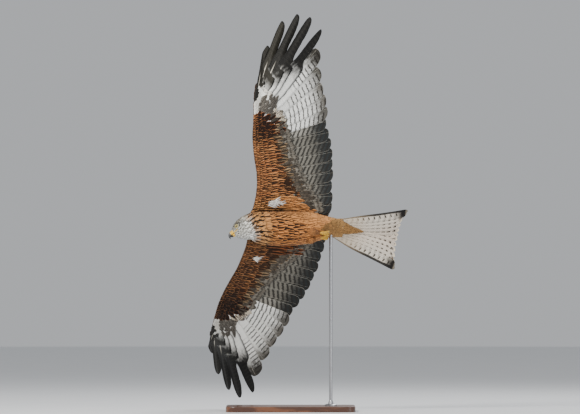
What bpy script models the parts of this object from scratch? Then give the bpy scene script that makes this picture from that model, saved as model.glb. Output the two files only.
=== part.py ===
# Red kite in gliding flight on a museum stand. Metres, +Z up, origin at the middle of the
# stand's underside. The bird is modelled in its own axes and banks about the parent empty.
import math
import bpy
import bmesh
import numpy as np
from mathutils import Matrix, Vector
from mathutils.geometry import delaunay_2d_cdt

for _o in list(bpy.data.objects):
    bpy.data.objects.remove(_o, do_unlink=True)

# ---------------------------------------------------------------- sizes, in metres
# The bird's own axes: x forward, y to its left, z to its back; its origin is inside the breast.
LOOK_F, LOOK_L = 0.34425, 0.45          # share of the line of sight that runs forward and to the left
BIRD_AT = (-0.020, -0.085, 0.660)        # the bird's origin above the middle of the stand's base
SPAN_TIP = 0.772                        # body axis to the tip of the longest finger
TAIL_END = -0.425                       # middle of the tail's end
ROOT_Z, DIHEDRAL = 0.018, 0.115         # height and upward slope of the wings at the body
WRIST = (0.150, 0.370)                  # plan position of the wrist, from which the hand fans out
TIP_CURL, CURL_FROM, CURL_SPAN = 1.51, 25.0, 16.5   # upward bend of the leading fingers
SPREAD = 0.030                          # the right wing is opened a little wider than the left

LOOK = np.array([LOOK_F, LOOK_L, -math.sqrt(1.0 - LOOK_F ** 2 - LOOK_L ** 2)])
_n = math.hypot(LOOK[1], LOOK[2])
RIGHT = np.array([-_n, LOOK_F * LOOK[1] / _n, LOOK_F * LOOK[2] / _n])
UP = np.array([0.0, -LOOK[2] / _n, LOOK[1] / _n])
BIRD_ROT = np.array([RIGHT, -LOOK, UP])  # rows: world X, Y and Z in the bird's axes


def to_world(p):
    return np.asarray(p) @ BIRD_ROT.T + np.array(BIRD_AT)


def pchip(xs, ys):
    """Smooth curve through named stations that never overshoots them."""
    xs = np.asarray(xs, float)
    ys = np.asarray(ys, float)
    h = np.diff(xs)
    d = np.diff(ys) / h
    m = np.zeros(len(xs))
    for i in range(1, len(xs) - 1):
        if d[i - 1] * d[i] > 0:
            w1, w2 = 2 * h[i] + h[i - 1], h[i] + 2 * h[i - 1]
            m[i] = (w1 + w2) / (w1 / d[i - 1] + w2 / d[i])
    m[0], m[-1] = d[0], d[-1]

    def f(x):
        x = np.clip(np.asarray(x, float), xs[0], xs[-1])
        i = np.clip(np.searchsorted(xs, x, side="right") - 1, 0, len(xs) - 2)
        t = (x - xs[i]) / h[i]
        t2, t3 = t * t, t * t * t
        return ((2 * t3 - 3 * t2 + 1) * ys[i] + (t3 - 2 * t2 + t) * h[i] * m[i]
                + (-2 * t3 + 3 * t2) * ys[i + 1] + (t3 - t2) * h[i] * m[i + 1])
    return f


def smooth(a, b, x):
    t = np.clip((np.asarray(x, float) - a) / (b - a), 0.0, 1.0)
    return t * t * (3 - 2 * t)


# ---------------------------------------------------------------- body: rings from rump to bill
HEAD_MID = np.array([0.1726, -0.0012, -0.0200])
HEAD_YAW, HEAD_PITCH, HEAD_ROLL = -28.3, -5.85, -25.4


def _frame(yaw, pitch, roll):
    y, p, r = (math.radians(v) for v in (yaw, pitch, roll))
    F = np.array([math.cos(p) * math.cos(y), math.cos(p) * math.sin(y), math.sin(p)])
    L0 = np.array([-math.sin(y), math.cos(y), 0.0])
    U0 = np.cross(F, L0)
    L = math.cos(r) * L0 + math.sin(r) * U0
    return F, L, np.cross(F, L)


HEAD_F, HEAD_L, HEAD_U = _frame(HEAD_YAW, HEAD_PITCH, HEAD_ROLL)


def head_pt(f, l, u):
    return HEAD_MID + np.multiply.outer(f, HEAD_F) + np.multiply.outer(l, HEAD_L) + np.multiply.outer(u, HEAD_U)


# station: distance along, centre x y z, half width, height up, height down, share of the head's turn
BODY = [
    (0.000, -0.195, -0.006, -0.003, 0.0360, 0.0100, 0.0120, 0.00),
    (0.030, -0.165, -0.004, -0.004, 0.0400, 0.0190, 0.0210, 0.00),
    (0.055, -0.140, -0.003, -0.006, 0.0455, 0.0290, 0.0330, 0.00),
    (0.085, -0.110, -0.001, -0.009, 0.0530, 0.0390, 0.0440, 0.00),
    (0.125, -0.070, 0.000, -0.013, 0.0580, 0.0480, 0.0540, 0.00),
    (0.175, -0.020, 0.000, -0.018, 0.0600, 0.0540, 0.0600, 0.00),
    (0.225, 0.030, 0.000, -0.018, 0.0605, 0.0550, 0.0620, 0.00),
    (0.265, 0.070, 0.001, -0.017, 0.0595, 0.0530, 0.0600, 0.00),
    (0.295, 0.100, 0.002, -0.016, 0.0570, 0.0500, 0.0560, 0.05),
    (0.317, 0.122, 0.004, -0.016, 0.0535, 0.0475, 0.0520, 0.20),
    (0.335, 0.139, 0.006, -0.017, 0.0475, 0.0430, 0.0540, 0.50),
    (0.350, 0.153, 0.0065, -0.0180, 0.0398, 0.0375, 0.0535, 0.82),
]
HEAD = [  # forward of the head's middle, half width, up, down
    (-0.006, 0.0335, 0.0345, 0.0492),
    (0.005, 0.0284, 0.0312, 0.0422),
    (0.012, 0.0250, 0.0283, 0.0366),
    (0.018, 0.0214, 0.0248, 0.0310),
    (0.023, 0.0182, 0.0212, 0.0262),
    (0.027, 0.0152, 0.0170, 0.0214),
    (0.0305, 0.0118, 0.0122, 0.0158),
]
for _f, _a, _bu, _bd in HEAD:
    _c = head_pt(_f, 0.0, 0.0)
    BODY.append((0.372 + _f, _c[0], _c[1], _c[2], _a, _bu, _bd, 1.0))
S_TRUNK_END, S_NECK_END, S_END = 0.306, 0.346, 0.4025
_b = np.array(BODY)
BODY_CURVES = [pchip(_b[:, 0], _b[:, k]) for k in range(1, 8)]


def body_ring(s):
    """Centre, left and up directions and the three radii of the body's section at s."""
    cx, cy, cz, a, bu, bd, w = (float(c(s)) for c in BODY_CURVES)
    F, L, U = _frame(HEAD_YAW * w, HEAD_PITCH * w, HEAD_ROLL * w)
    return np.array([cx, cy, cz]), F, L, U, a, bu, bd


def body_point(s, th, grow=0.0):
    """Point on the coat: th is 0 on the left flank, 90 on the back, -90 on the belly (degrees)."""
    c, F, L, U, a, bu, bd = body_ring(s)
    th = math.radians(th)
    ct, st = math.cos(th), math.sin(th)
    b = bu if st > 0 else bd
    return c + L * (a + grow) * ct + U * (b + grow) * st


# ---------------------------------------------------------------- wings: plan curves and height
LEAD = [(0.030, 0.138), (0.045, 0.132), (0.062, 0.126), (0.100, 0.1235), (0.135, 0.1255), (0.190, 0.134), (0.245, 0.150), (0.300, 0.164),
        (0.350, 0.172), (0.400, 0.174), (0.450, 0.171), (0.500, 0.163), (0.550, 0.147), (0.590, 0.128)]
LEAD_X = pchip([p[0] for p in LEAD], [p[1] for p in LEAD])
# plan positions of the feather tips, primaries counted outward, secondaries inward
TIP_P = {10: (0.112, 0.623), 9: (0.0705, 0.716), 8: (0.033, 0.762), 7: (0.001, SPAN_TIP), 6: (-0.037, 0.737),
         5: (-0.033, 0.664), 4: (-0.048, 0.592), 3: (-0.067, 0.533), 2: (-0.088, 0.487), 1: (-0.104, 0.439)}
TIP_S = {1: (-0.108, 0.390), 2: (-0.125, 0.350), 3: (-0.139, 0.315), 4: (-0.150, 0.275), 5: (-0.156, 0.237),
         6: (-0.164, 0.197), 7: (-0.166, 0.152), 8: (-0.172, 0.108), 9: (-0.172, 0.072)}
NOTCH = {9: (0.111, 0.607), 8: (0.083, 0.644), 7: (0.057, 0.655), 6: (0.026, 0.655), 5: (-0.031, 0.673)}
TRAIL_X = pchip([0.03] + [TIP_S[k][1] for k in range(9, 0, -1)] + [TIP_P[k][1] for k in range(1, 6)],
                [-0.160] + [TIP_S[k][0] for k in range(9, 0, -1)] + [TIP_P[k][0] for k in range(1, 6)])


def wing_z(x, y):
    """Height of the wing's middle surface without its camber: dihedral, then fingers that bend up."""
    x, y = np.asarray(x, float), np.asarray(y, float)
    dx, dy = x - WRIST[0], y - WRIST[1]
    ph = np.degrees(np.arctan2(dx, np.maximum(dy, 1e-6)))
    k = TIP_CURL * np.clip((ph + CURL_FROM) / CURL_SPAN, 0.0, 1.15) ** 2.2
    return ROOT_Z + DIHEDRAL * (y - 0.05) + np.where(dy > 0, k * (dx * dx + dy * dy), 0.0) * smooth(0.0, 0.05, dy)


def wing_pt(x, y, z, side):
    """Plan position and height on one wing, to a point in the bird's axes."""
    open_ = 1.0 - side * SPREAD * smooth(0.06, 0.16, y) * (1 - smooth(0.36, 0.48, y))
    return np.stack([np.asarray(x) * open_, side * np.asarray(y), np.asarray(z)], axis=-1)


def chord(x, y):
    """Share of the way from the leading to the trailing edge."""
    le, te = LEAD_X(y), TRAIL_X(y)
    return np.clip((le - np.asarray(x, float)) / (le - te), 0.0, 1.0)


def camber(x, y):
    c = chord(x, y)
    return (0.017 - 0.010 * smooth(0.25, 0.60, y)) * np.sin(math.pi * c ** 0.62)


def flesh_up(x, y):
    """Thickness of bone, muscle and coverts above the middle surface."""
    c = chord(x, y)
    root = 1.0 - 0.55 * smooth(0.06, 0.36, y) - 0.27 * smooth(0.36, 0.60, y)
    return 0.0006 + 0.0125 * root * np.clip(c / 0.10, 0, 1) ** 0.5 * (1 - smooth(0.12, 0.62, c))


def flesh_down(x, y):
    c = chord(x, y)
    root = 1.0 - 0.55 * smooth(0.06, 0.36, y) - 0.27 * smooth(0.36, 0.60, y)
    return 0.0006 + 0.0115 * root * np.clip(c / 0.10, 0, 1) ** 0.5 * (1 - smooth(0.10, 0.55, c))


# ---------------------------------------------------------------- tail: a fan about the pygostyle
TAIL_ROOT = np.array([-0.1953, -0.006, -0.003])
TAIL_TIP_Z = -0.030
# rectrices from the left outermost to the right outermost: end (x, y) of each
TAIL_L, TAIL_R = (-0.441, 0.0935), (-0.430, -0.1550)


def tail_edge(side, k):
    """Outer edge of the tail fan, k from 0 at the body to 1 at the corner; gently concave."""
    x0, y0 = TAIL_ROOT[0], TAIL_ROOT[1] + (0.0365 if side > 0 else -0.0460)
    x1, y1 = TAIL_L if side > 0 else TAIL_R
    return np.array([x0 + (x1 - x0) * k, y0 + (y1 - y0) * (k - (0.115 if side > 0 else 0.015) * math.sin(math.pi * k))])


def tail_z(x, y):
    k = np.clip((TAIL_ROOT[0] - np.asarray(x, float)) / (TAIL_ROOT[0] - TAIL_END), 0, 1.1)
    mid = TAIL_ROOT[1] + (-0.0320 - TAIL_ROOT[1]) * k
    return TAIL_ROOT[2] + (TAIL_TIP_Z - TAIL_ROOT[2]) * k - 0.9 * (np.asarray(y, float) - mid) ** 2 * smooth(0, 1, k)

# ---------------------------------------------------------------- more sizes
GAP = 0.0003                            # clearance between touching pieces
WING_MIN = 0.0006                       # half the thickness of a feather blade
BASE = (0.460, 0.330, 0.020)            # wooden base of the stand
ROD_R = 0.006
ROD_AT = (BIRD_AT[0] + 0.163, BIRD_AT[1] + 0.059)
ROD_TOP = BIRD_AT[2] - 0.022
EYE_R = 0.0062
AROUND = 28                             # points round a body ring


def material(name, color, rough, metal=0.0):
    m = bpy.data.materials.new(name)
    m.use_nodes = True
    b = m.node_tree.nodes["Principled BSDF"]
    b.inputs["Base Color"].default_value = (*color, 1.0)
    b.inputs["Roughness"].default_value = rough
    b.inputs["Metallic"].default_value = metal
    return m


RUFOUS = material("rufous_plumage", (0.42, 0.16, 0.06), 0.8)
PALE = material("pale_plumage", (0.60, 0.58, 0.52), 0.8)
DARK = material("dark_feathers", (0.05, 0.05, 0.05), 0.6)
GREY = material("grey_feathers", (0.35, 0.34, 0.33), 0.7)
TAILM = material("tail_feathers", (0.62, 0.52, 0.42), 0.7)
HORN = material("bill_horn", (0.05, 0.045, 0.04), 0.35)
YELLOW = material("yellow_skin", (0.80, 0.55, 0.08), 0.45)
EYE = material("eye", (0.72, 0.62, 0.30), 0.1)
WOOD = material("base_wood", (0.20, 0.10, 0.05), 0.4)
STEEL = material("rod_steel", (0.55, 0.55, 0.56), 0.3, 1.0)

BIRD = bpy.data.objects.new("bird", None)
bpy.context.scene.collection.objects.link(BIRD)
BIRD.matrix_world = Matrix.Translation(Vector(BIRD_AT)) @ Matrix([list(map(float, r)) for r in BIRD_ROT]).to_4x4()


def add(name, verts, faces, mat, parent=BIRD):
    me = bpy.data.meshes.new(name)
    me.from_pydata([tuple(map(float, v)) for v in verts], [], [list(map(int, f)) for f in faces])
    me.materials.append(mat)
    me.shade_smooth()
    ob = bpy.data.objects.new(name, me)
    bpy.context.scene.collection.objects.link(ob)
    if parent is not None:
        ob.parent = parent
    return ob


def hidden(ob):
    ob.hide_render = True
    ob.display_type = "WIRE"
    return ob


def boolean(ob, other, op="DIFFERENCE"):
    m = ob.modifiers.new(op.lower(), "BOOLEAN")
    m.operation = op
    m.solver = "EXACT"
    m.object = other
    return ob


def loft(rings, name, mat, parent=BIRD):
    """Closed skin over rings of equal count; each end is one flat face."""
    n = len(rings[0])
    verts = [p for r in rings for p in r]
    faces = []
    for i in range(len(rings) - 1):
        for j in range(n):
            k = (j + 1) % n
            faces.append((i * n + j, i * n + k, (i + 1) * n + k, (i + 1) * n + j))
    faces.append(list(range(n))[::-1])
    faces.append([(len(rings) - 1) * n + j for j in range(n)])
    return add(name, verts, faces, mat, parent)


def body_loft(name, s0, s1, step, mat, grow=0.0):
    count = max(2, int(round((s1 - s0) / step)) + 1)
    rings = []
    for s in np.linspace(s0, s1, count):
        rings.append([body_point(s, 360.0 * j / AROUND, grow) for j in range(AROUND)])
    return loft(rings, name, mat)


# ---------------------------------------------------------------- trunk, neck and head
trunk = body_loft("trunk", 0.0, S_TRUNK_END, 0.020, RUFOUS)
neck = body_loft("neck", S_TRUNK_END + GAP, S_NECK_END, 0.010, PALE)
head = body_loft("head", S_NECK_END + GAP, S_END, 0.0055, PALE)
coat = hidden(body_loft("coat_cutter", 0.0, S_END, 0.011, RUFOUS, grow=GAP))


def ball(name, centre, radius, mat, seg=20, rings=12, stretch=None):
    verts, faces = [], []
    ax = stretch if stretch is not None else np.eye(3) * radius
    verts.append(centre - ax[2])
    for i in range(1, rings):
        v = -math.pi / 2 + math.pi * i / rings
        for j in range(seg):
            u = 2 * math.pi * j / seg
            verts.append(centre + ax[0] * math.cos(v) * math.cos(u) + ax[1] * math.cos(v) * math.sin(u) + ax[2] * math.sin(v))
    verts.append(centre + ax[2])
    last = len(verts) - 1
    for j in range(seg):
        k = (j + 1) % seg
        faces.append((0, 1 + k, 1 + j))
        for i in range(rings - 2):
            a = 1 + i * seg
            faces.append((a + j, a + k, a + seg + k, a + seg + j))
        a = 1 + (rings - 2) * seg
        faces.append((a + j, a + k, last))
    return add(name, verts, faces, mat)


for side, word in ((1, "left"), (-1, "right")):
    at = head_pt(0.0105, side * 0.0200, 0.0054)
    ball("eye_" + word, at, EYE_R, EYE)
    boolean(head, hidden(ball("eye_%s_socket" % word, at, EYE_R + GAP, EYE)))


def swept(name, path, mat, around=12):
    """Bill half: (forward, up, half height, half width) along a curve in the head's middle plane."""
    rings = []
    for i, (f, u, h, w) in enumerate(path):
        a, b = path[max(i - 1, 0)], path[min(i + 1, len(path) - 1)]
        if i == 0:
            t = np.array([1.0, 0.0])
        else:
            t = np.array([b[0] - a[0], b[1] - a[1]])
            t /= np.linalg.norm(t)
        nf, nu = -t[1], t[0]
        ring = []
        for j in range(around):
            th = 2 * math.pi * j / around
            c, s = math.cos(th), math.sin(th)
            ring.append(head_pt(f + nf * h * s, w * c, u + nu * h * s))
        rings.append(ring)
    return loft(rings, name, mat)


BILL_F = 0.0305 + GAP
UPPER_BILL = [(BILL_F, 0.0019, 0.0084, 0.0098), (0.0345, 0.0017, 0.0082, 0.0088), (0.0395, 0.0009, 0.0075, 0.0072),
              (0.0445, -0.0015, 0.0060, 0.0055), (0.0482, -0.0055, 0.0042, 0.0038), (0.0502, -0.0100, 0.0026, 0.0024),
              (0.0508, -0.0140, 0.0013, 0.0013), (0.0507, -0.0165, 0.0005, 0.0005)]
LOWER_BILL = [(BILL_F, -0.0102, 0.0032, 0.0078), (0.0345, -0.0101, 0.0029, 0.0067), (0.0390, -0.0099, 0.0024, 0.0052),
              (0.0430, -0.0098, 0.0015, 0.0036), (0.0452, -0.0099, 0.0007, 0.0018)]
swept("bill_upper", UPPER_BILL, HORN)
swept("bill_lower", LOWER_BILL, HORN)


# ---------------------------------------------------------------- blades: plan outline, height field
def inside(poly, p):
    x, y = p
    hit = False
    for (x1, y1), (x2, y2) in zip(poly, poly[1:] + poly[:1]):
        if (y1 > y) != (y2 > y) and x < (x2 - x1) * (y - y1) / (y2 - y1) + x1:
            hit = not hit
    return hit


def edge_gap(poly, p):
    P = np.array(poly)
    Q = np.roll(P, -1, axis=0)
    d = Q - P
    t = np.clip(((np.array(p) - P) * d).sum(1) / (d * d).sum(1), 0, 1)
    return float(np.linalg.norm(P + d * t[:, None] - np.array(p), axis=1).min())


def blade(name, poly, mid, up, down, step, mat, side=1, rows=(), wing=True):
    """Solid over a plan outline: mid, up and down give its middle height and its two thicknesses."""
    poly = [tuple(map(float, p)) for p in poly]
    area = sum(a[0] * b[1] - b[0] * a[1] for a, b in zip(poly, poly[1:] + poly[:1]))
    if area < 0:
        poly = poly[::-1]
    pts = list(poly)
    P = np.array(poly)
    for p in rows:
        if inside(poly, p) and edge_gap(poly, p) > 0.0035:
            pts.append(tuple(map(float, p)))
    if step:
        lo, hi = P.min(0), P.max(0)
        r = 0
        y = lo[1]
        while y < hi[1]:
            x = lo[0] + (step / 2 if r % 2 else 0)
            while x < hi[0]:
                near = min(math.hypot(x - q[0], y - q[1]) for q in pts)
                if inside(poly, (x, y)) and near > 0.6 * step and edge_gap(poly, (x, y)) > 0.4 * step:
                    pts.append((x, y))
                x += step
            y += step * 0.87
            r += 1
    out = delaunay_2d_cdt([Vector(p) for p in pts], [], [list(range(len(poly)))], 1, 1e-8)
    co = np.array([tuple(v) for v in out[0]])
    tris = [list(f) for f in out[2]]
    z = mid(co[:, 0], co[:, 1])
    place = wing_pt if wing else (lambda x, y, h, s: np.stack([x, y, h], axis=-1))
    top = place(co[:, 0], co[:, 1], z + up(co[:, 0], co[:, 1]), side)
    bot = place(co[:, 0], co[:, 1], z - down(co[:, 0], co[:, 1]), side)
    n = len(co)
    faces, seen = [], {}
    for f in tris:
        faces.append(f)
        faces.append([n + i for i in f[::-1]])
        for a, b in zip(f, f[1:] + f[:1]):
            seen[(a, b)] = True
    for a, b in seen:
        if (b, a) not in seen:
            faces.append([b, a, n + a, n + b])
    if side < 0:
        faces = [f[::-1] for f in faces]
    return add(name, np.vstack([top, bot]), faces, mat)


def scallops(tips, depth, steps=4):
    """Trailing edge through feather tips, with a shallow notch between each two."""
    out = []
    for i, t in enumerate(tips):
        t = np.array(t)
        if i > 0:
            out.append(tuple(t))
        if i + 1 < len(tips):
            q = np.array(tips[i + 1])
            d = q - t
            nrm = np.array([d[1], -d[0]]) / np.linalg.norm(d)
            if nrm[0] < 0:
                nrm = -nrm
            for k in range(1, steps):
                v = k / steps
                sag = depth * np.linalg.norm(d) * (1 - abs(2 * v - 1) ** 1.6)
                out.append(tuple(t + d * v + nrm * sag))
    return [tuple(tips[0])] + out


def wing_mid(x, y):
    return wing_z(x, y) + camber(x, y)


def split_line(shift):
    """Cut between arm and hand, leading to trailing edge."""
    tail = 0.5 * (np.array(TIP_S[1]) + np.array(TIP_P[1])) + np.array([0.010, 0.0])
    stops = [(float(LEAD_X(0.372)), 0.372), (0.120, 0.366), (0.060, 0.363), (0.010, 0.366), (-0.045, 0.384), tuple(tail)]
    return [(x, y + shift) for x, y in stops]


ROOT_Y = 0.030
for side, word in ((1, "left"), (-1, "right")):
    lead = [(float(LEAD_X(y)), y) for y in np.linspace(ROOT_Y, 0.345, 13)]
    cut = split_line(-GAP / 2)
    trail = scallops([TIP_S[k] for k in range(1, 10)], 0.16)
    arm = lead + cut + trail + [(-0.160, ROOT_Y)]
    rows = [(float(LEAD_X(y)) - d, y) for d in (0.008, 0.024, 0.048) for y in np.linspace(0.05, 0.36, 14)]
    a = blade("wing_%s_arm" % word, arm, wing_mid, flesh_up, flesh_down, 0.030, RUFOUS, side, rows)
    boolean(a, coat)

    lead = [(float(LEAD_X(y)), y) for y in (0.395, 0.420, 0.450, 0.480)]
    n10 = (float(LEAD_X(0.520)), 0.520)
    ends = [n10, NOTCH[9], NOTCH[8], NOTCH[7], NOTCH[6], NOTCH[5]]
    trail = scallops([TIP_P[k] for k in range(5, 0, -1)], 0.17)
    hand = split_line(GAP / 2)[::-1] + lead + ends + trail
    rows = [(float(LEAD_X(y)) - d, y) for d in (0.008, 0.024) for y in np.linspace(0.375, 0.50, 6)]
    blade("wing_%s_hand" % word, hand, wing_mid, flesh_up, flesh_down, 0.028, GREY, side, rows)

    # the five fingers: outline from two notches to a round tip
    for i, k in enumerate(range(10, 5, -1)):
        A, B, T = (np.array(v, float) for v in (ends[i], ends[i + 1], TIP_P[k]))
        base = (B - A) / np.linalg.norm(B - A)
        mid = 0.5 * (A + B)
        along = (T - mid) / np.linalg.norm(T - mid)
        A = A + base * GAP + along * 0.0005
        B = B - base * GAP + along * 0.0005
        swell = 0.0045 if k == 10 else 0.0075
        ks = np.linspace(0.0, 1.0, 9)
        bulge = np.where(ks < 0.8, swell * (ks / 0.8) ** 1.2, swell * np.sqrt(np.clip(1 - ((ks - 0.8) / 0.2) ** 2, 0, 1)))
        across = np.array([along[1], -along[0]])          # towards the leading edge
        if across @ (A - B) < 0:
            across = -across
        ahead = [A + (T - A) * v + across * w * (0.0 if k == 10 else 1.0) for v, w in zip(ks, bulge)]
        if k == 10:
            ahead = [np.array([float(LEAD_X(y)), y]) for y in (0.5206, 0.545, 0.570, 0.590)] + [np.array([0.1185, 0.610]), T]
        behind = [B + (T - B) * v - across * w for v, w in zip(ks, bulge)][:-1][::-1]
        poly = [tuple(p) for p in ahead + behind]

        def finger_z(x, y, A=A, B=B, T=T, along=along):
            m = 0.5 * (A + B)
            run = np.linalg.norm(T - m)
            v = ((x - m[0]) * along[0] + (y - m[1]) * along[1])
            cx, cy = m[0] + along[0] * v, m[1] + along[1] * v
            zc = wing_z(cx, cy)
            slope = np.clip(wing_mid(x, y) - wing_mid(cx, cy), -0.006, 0.006)
            t = smooth(0.0, 0.35, v / run)
            zf = wing_mid(x, y)
            return zf * (1 - t) + (zc + slope) * t

        thin = lambda x, y: np.full(np.shape(x), WING_MIN)
        blade("primary_%s_%d" % (word, k), poly, finger_z, thin, thin, 0.022, DARK, side)

# ---------------------------------------------------------------- tail
TAIL_FEATHERS = 12


def tail_tip(q):
    """End of a tail feather, q from 1 (left corner) to -1 (right corner)."""
    l, r = np.array(TAIL_L), np.array(TAIL_R)
    p = r + (l - r) * (q + 1) / 2
    return (float(p[0] + 0.0105 * (1 - abs(q) ** 2.2) + 0.010 * max(q, 0) * (1 - abs(q) ** 6)), float(p[1]))


left = [tuple(tail_edge(1, k)) for k in np.linspace(0, 1, 9)[:-1]]
right = [tuple(tail_edge(-1, k)) for k in np.linspace(0, 1, 9)[:-1]][::-1]
tips = [tail_tip(1 - 2 * i / (TAIL_FEATHERS - 1)) for i in range(TAIL_FEATHERS)]


def tail_up(x, y):
    k = np.clip((TAIL_ROOT[0] - x) / 0.105, 0, 1)
    q = np.clip(np.abs(y - TAIL_ROOT[1] + 0.05 * k) / 0.034, 0, 1)
    return 0.0008 + 0.0090 * (1 - k) ** 1.1 * (1 - q ** 2)


def tail_down(x, y):
    k = np.clip((TAIL_ROOT[0] - x) / 0.110, 0, 1)
    q = np.clip(np.abs(y - TAIL_ROOT[1] + 0.035 * k) / 0.034, 0, 1)
    return 0.0008 + 0.0110 * (1 - k) ** 1.1 * (1 - q ** 2)


trail = []
for i, t in enumerate(tips):
    trail.append(t)
    if i + 1 < len(tips):
        u = tips[i + 1]
        trail.append((0.5 * (t[0] + u[0]) + 0.0035, 0.5 * (t[1] + u[1])))
rows = [(TAIL_ROOT[0] - d, TAIL_ROOT[1] + y) for d in (0.006, 0.020) for y in np.linspace(-0.030, 0.030, 6)]
blade("tail", left + trail + right, tail_z, tail_up, tail_down, 0.026, TAILM, 1, rows, wing=False)

# ---------------------------------------------------------------- legs and feet, folded under the vent
def tube(name, path, radii, mat, around=10):
    rings = []
    path = [np.array(p, float) for p in path]
    up = np.array([0.0, 1.0, 0.0])
    for i, (p, r) in enumerate(zip(path, radii)):
        t = path[min(i + 1, len(path) - 1)] - path[max(i - 1, 0)]
        t /= np.linalg.norm(t)
        a = np.cross(up, t)
        a /= np.linalg.norm(a)
        b = np.cross(t, a)
        rings.append([p + r * (a * math.cos(2 * math.pi * j / around) + b * math.sin(2 * math.pi * j / around)) for j in range(around)])
    return loft(rings, name, mat)


FOOT = {1: np.array([-0.1215, 0.0030, -0.0560]), -1: np.array([-0.1230, -0.0165, -0.0515])}
for side, word in ((1, "left"), (-1, "right")):
    foot_at = FOOT[side]
    hip = np.array([-0.060, side * 0.022 - 0.004, -0.056])
    heel = foot_at + np.array([0.012, 0.0, 0.003])
    leg = tube("leg_" + word, [hip + (heel - hip) * v + np.array([0, 0, -0.010 * math.sin(math.pi * v)]) for v in np.linspace(0, 1, 8)],
               [0.006, 0.0115, 0.0130, 0.0128, 0.0116, 0.0100, 0.0085, 0.0070], RUFOUS, 12)
    leg_grown = hidden(tube("leg_%s_cutter" % word,
                            [hip + (heel - hip) * v + np.array([0, 0, -0.010 * math.sin(math.pi * v)]) for v in np.linspace(0, 1.012, 8)],
                            [r + GAP for r in (0.006, 0.0115, 0.0130, 0.0128, 0.0116, 0.0100, 0.0085, 0.0070)], RUFOUS, 12))
    boolean(leg, coat)
    foot = tube("foot_" + word, [foot_at + np.array([0.013, 0, 0.0015]), foot_at + np.array([0.006, 0, -0.001]), foot_at + np.array([-0.001, 0, -0.0015]),
                                 foot_at + np.array([-0.006, 0, -0.0005])], [0.0042, 0.0050, 0.0066, 0.0050], YELLOW, 10)
    for j, spread in enumerate((-0.0060, 0.0, 0.0060)):
        root = foot_at + np.array([-0.003, spread * 0.5, -0.0010])
        toe = [root, root + np.array([-0.008, spread * 0.35, -0.0035]), root + np.array([-0.017, spread * 0.6, -0.0035]),
               root + np.array([-0.023, spread * 0.7, 0.0005]), root + np.array([-0.0245, spread * 0.7, 0.0065]), root + np.array([-0.0205, spread * 0.7, 0.0115])]
        boolean(foot, hidden(tube("toe_%s_%d" % (word, j), toe, [0.0030, 0.0033, 0.0031, 0.0028, 0.0017, 0.0005], YELLOW, 8)), "UNION")
    boolean(foot, coat)
    boolean(foot, leg_grown)

# ---------------------------------------------------------------- display stand
def slab(name, size, chamfer, mat):
    bm = bmesh.new()
    bmesh.ops.create_cube(bm, size=1.0)
    bmesh.ops.scale(bm, vec=size, verts=bm.verts)
    bmesh.ops.translate(bm, vec=(0, 0, size[2] / 2), verts=bm.verts)
    up = [e for e in bm.edges if abs(e.verts[0].co.z - e.verts[1].co.z) > size[2] * 0.5]
    bmesh.ops.bevel(bm, geom=up, offset=0.030, segments=6, profile=0.5, affect="EDGES")
    rim = [e for e in bm.edges if min(v.co.z for v in e.verts) > size[2] - 1e-6 and len(e.link_faces) == 2
           and any(abs(f.normal.z) < 0.5 for f in e.link_faces)]
    bmesh.ops.bevel(bm, geom=rim, offset=chamfer, segments=2, profile=0.5, affect="EDGES")
    me = bpy.data.meshes.new(name)
    bm.to_mesh(me)
    bm.free()
    me.materials.append(mat)
    ob = bpy.data.objects.new(name, me)
    bpy.context.scene.collection.objects.link(ob)
    return ob


slab("stand_base", BASE, 0.004, WOOD)


def turned(name, profile, at, mat, around=20):
    rings = [[np.array([at[0] + r * math.cos(2 * math.pi * j / around), at[1] + r * math.sin(2 * math.pi * j / around), z])
              for j in range(around)] for r, z in profile]
    return loft(rings, name, mat, None)


z0 = BASE[2] + GAP
turned("stand_rod", [(0.022, z0), (0.022, z0 + 0.004), (0.019, z0 + 0.006), (0.0095, z0 + 0.008), (0.0075, z0 + 0.016),
                     (ROD_R, z0 + 0.020), (ROD_R, ROD_TOP)], ROD_AT, STEEL)
boolean(trunk, hidden(turned("rod_cutter", [(ROD_R + GAP, 0.40), (ROD_R + GAP, ROD_TOP + GAP)], ROD_AT, STEEL)))
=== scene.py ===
import math
import bpy
import bmesh
import numpy as np
from mathutils import Matrix, Vector


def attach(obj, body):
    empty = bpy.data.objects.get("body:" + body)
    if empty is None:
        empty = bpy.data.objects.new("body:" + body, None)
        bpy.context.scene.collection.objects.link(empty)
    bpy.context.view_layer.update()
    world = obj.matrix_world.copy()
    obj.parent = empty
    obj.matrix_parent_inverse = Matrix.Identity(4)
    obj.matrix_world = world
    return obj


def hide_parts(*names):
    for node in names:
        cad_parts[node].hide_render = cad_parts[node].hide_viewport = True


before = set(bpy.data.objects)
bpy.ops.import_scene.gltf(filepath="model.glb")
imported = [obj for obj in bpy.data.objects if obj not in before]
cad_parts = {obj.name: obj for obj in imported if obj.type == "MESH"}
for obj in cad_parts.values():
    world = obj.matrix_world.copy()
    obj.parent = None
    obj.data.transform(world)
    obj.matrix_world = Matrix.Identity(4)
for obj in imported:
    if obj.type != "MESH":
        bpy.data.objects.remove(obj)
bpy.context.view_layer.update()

RNG = np.random.default_rng(7)

# ---------------------------------------------------------------- sizes, in metres
# The bird's own axes: x forward, y to its left, z to its back; its origin is inside the breast.
LOOK_F, LOOK_L = 0.34425, 0.45          # share of the line of sight that runs forward and to the left
BIRD_AT = (-0.020, -0.085, 0.660)        # the bird's origin above the middle of the stand's base
SPAN_TIP = 0.772                        # body axis to the tip of the longest finger
TAIL_END = -0.425                       # middle of the tail's end
ROOT_Z, DIHEDRAL = 0.018, 0.115         # height and upward slope of the wings at the body
WRIST = (0.150, 0.370)                  # plan position of the wrist, from which the hand fans out
TIP_CURL, CURL_FROM, CURL_SPAN = 1.51, 25.0, 16.5   # upward bend of the leading fingers
SPREAD = 0.030                          # the right wing is opened a little wider than the left

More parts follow.
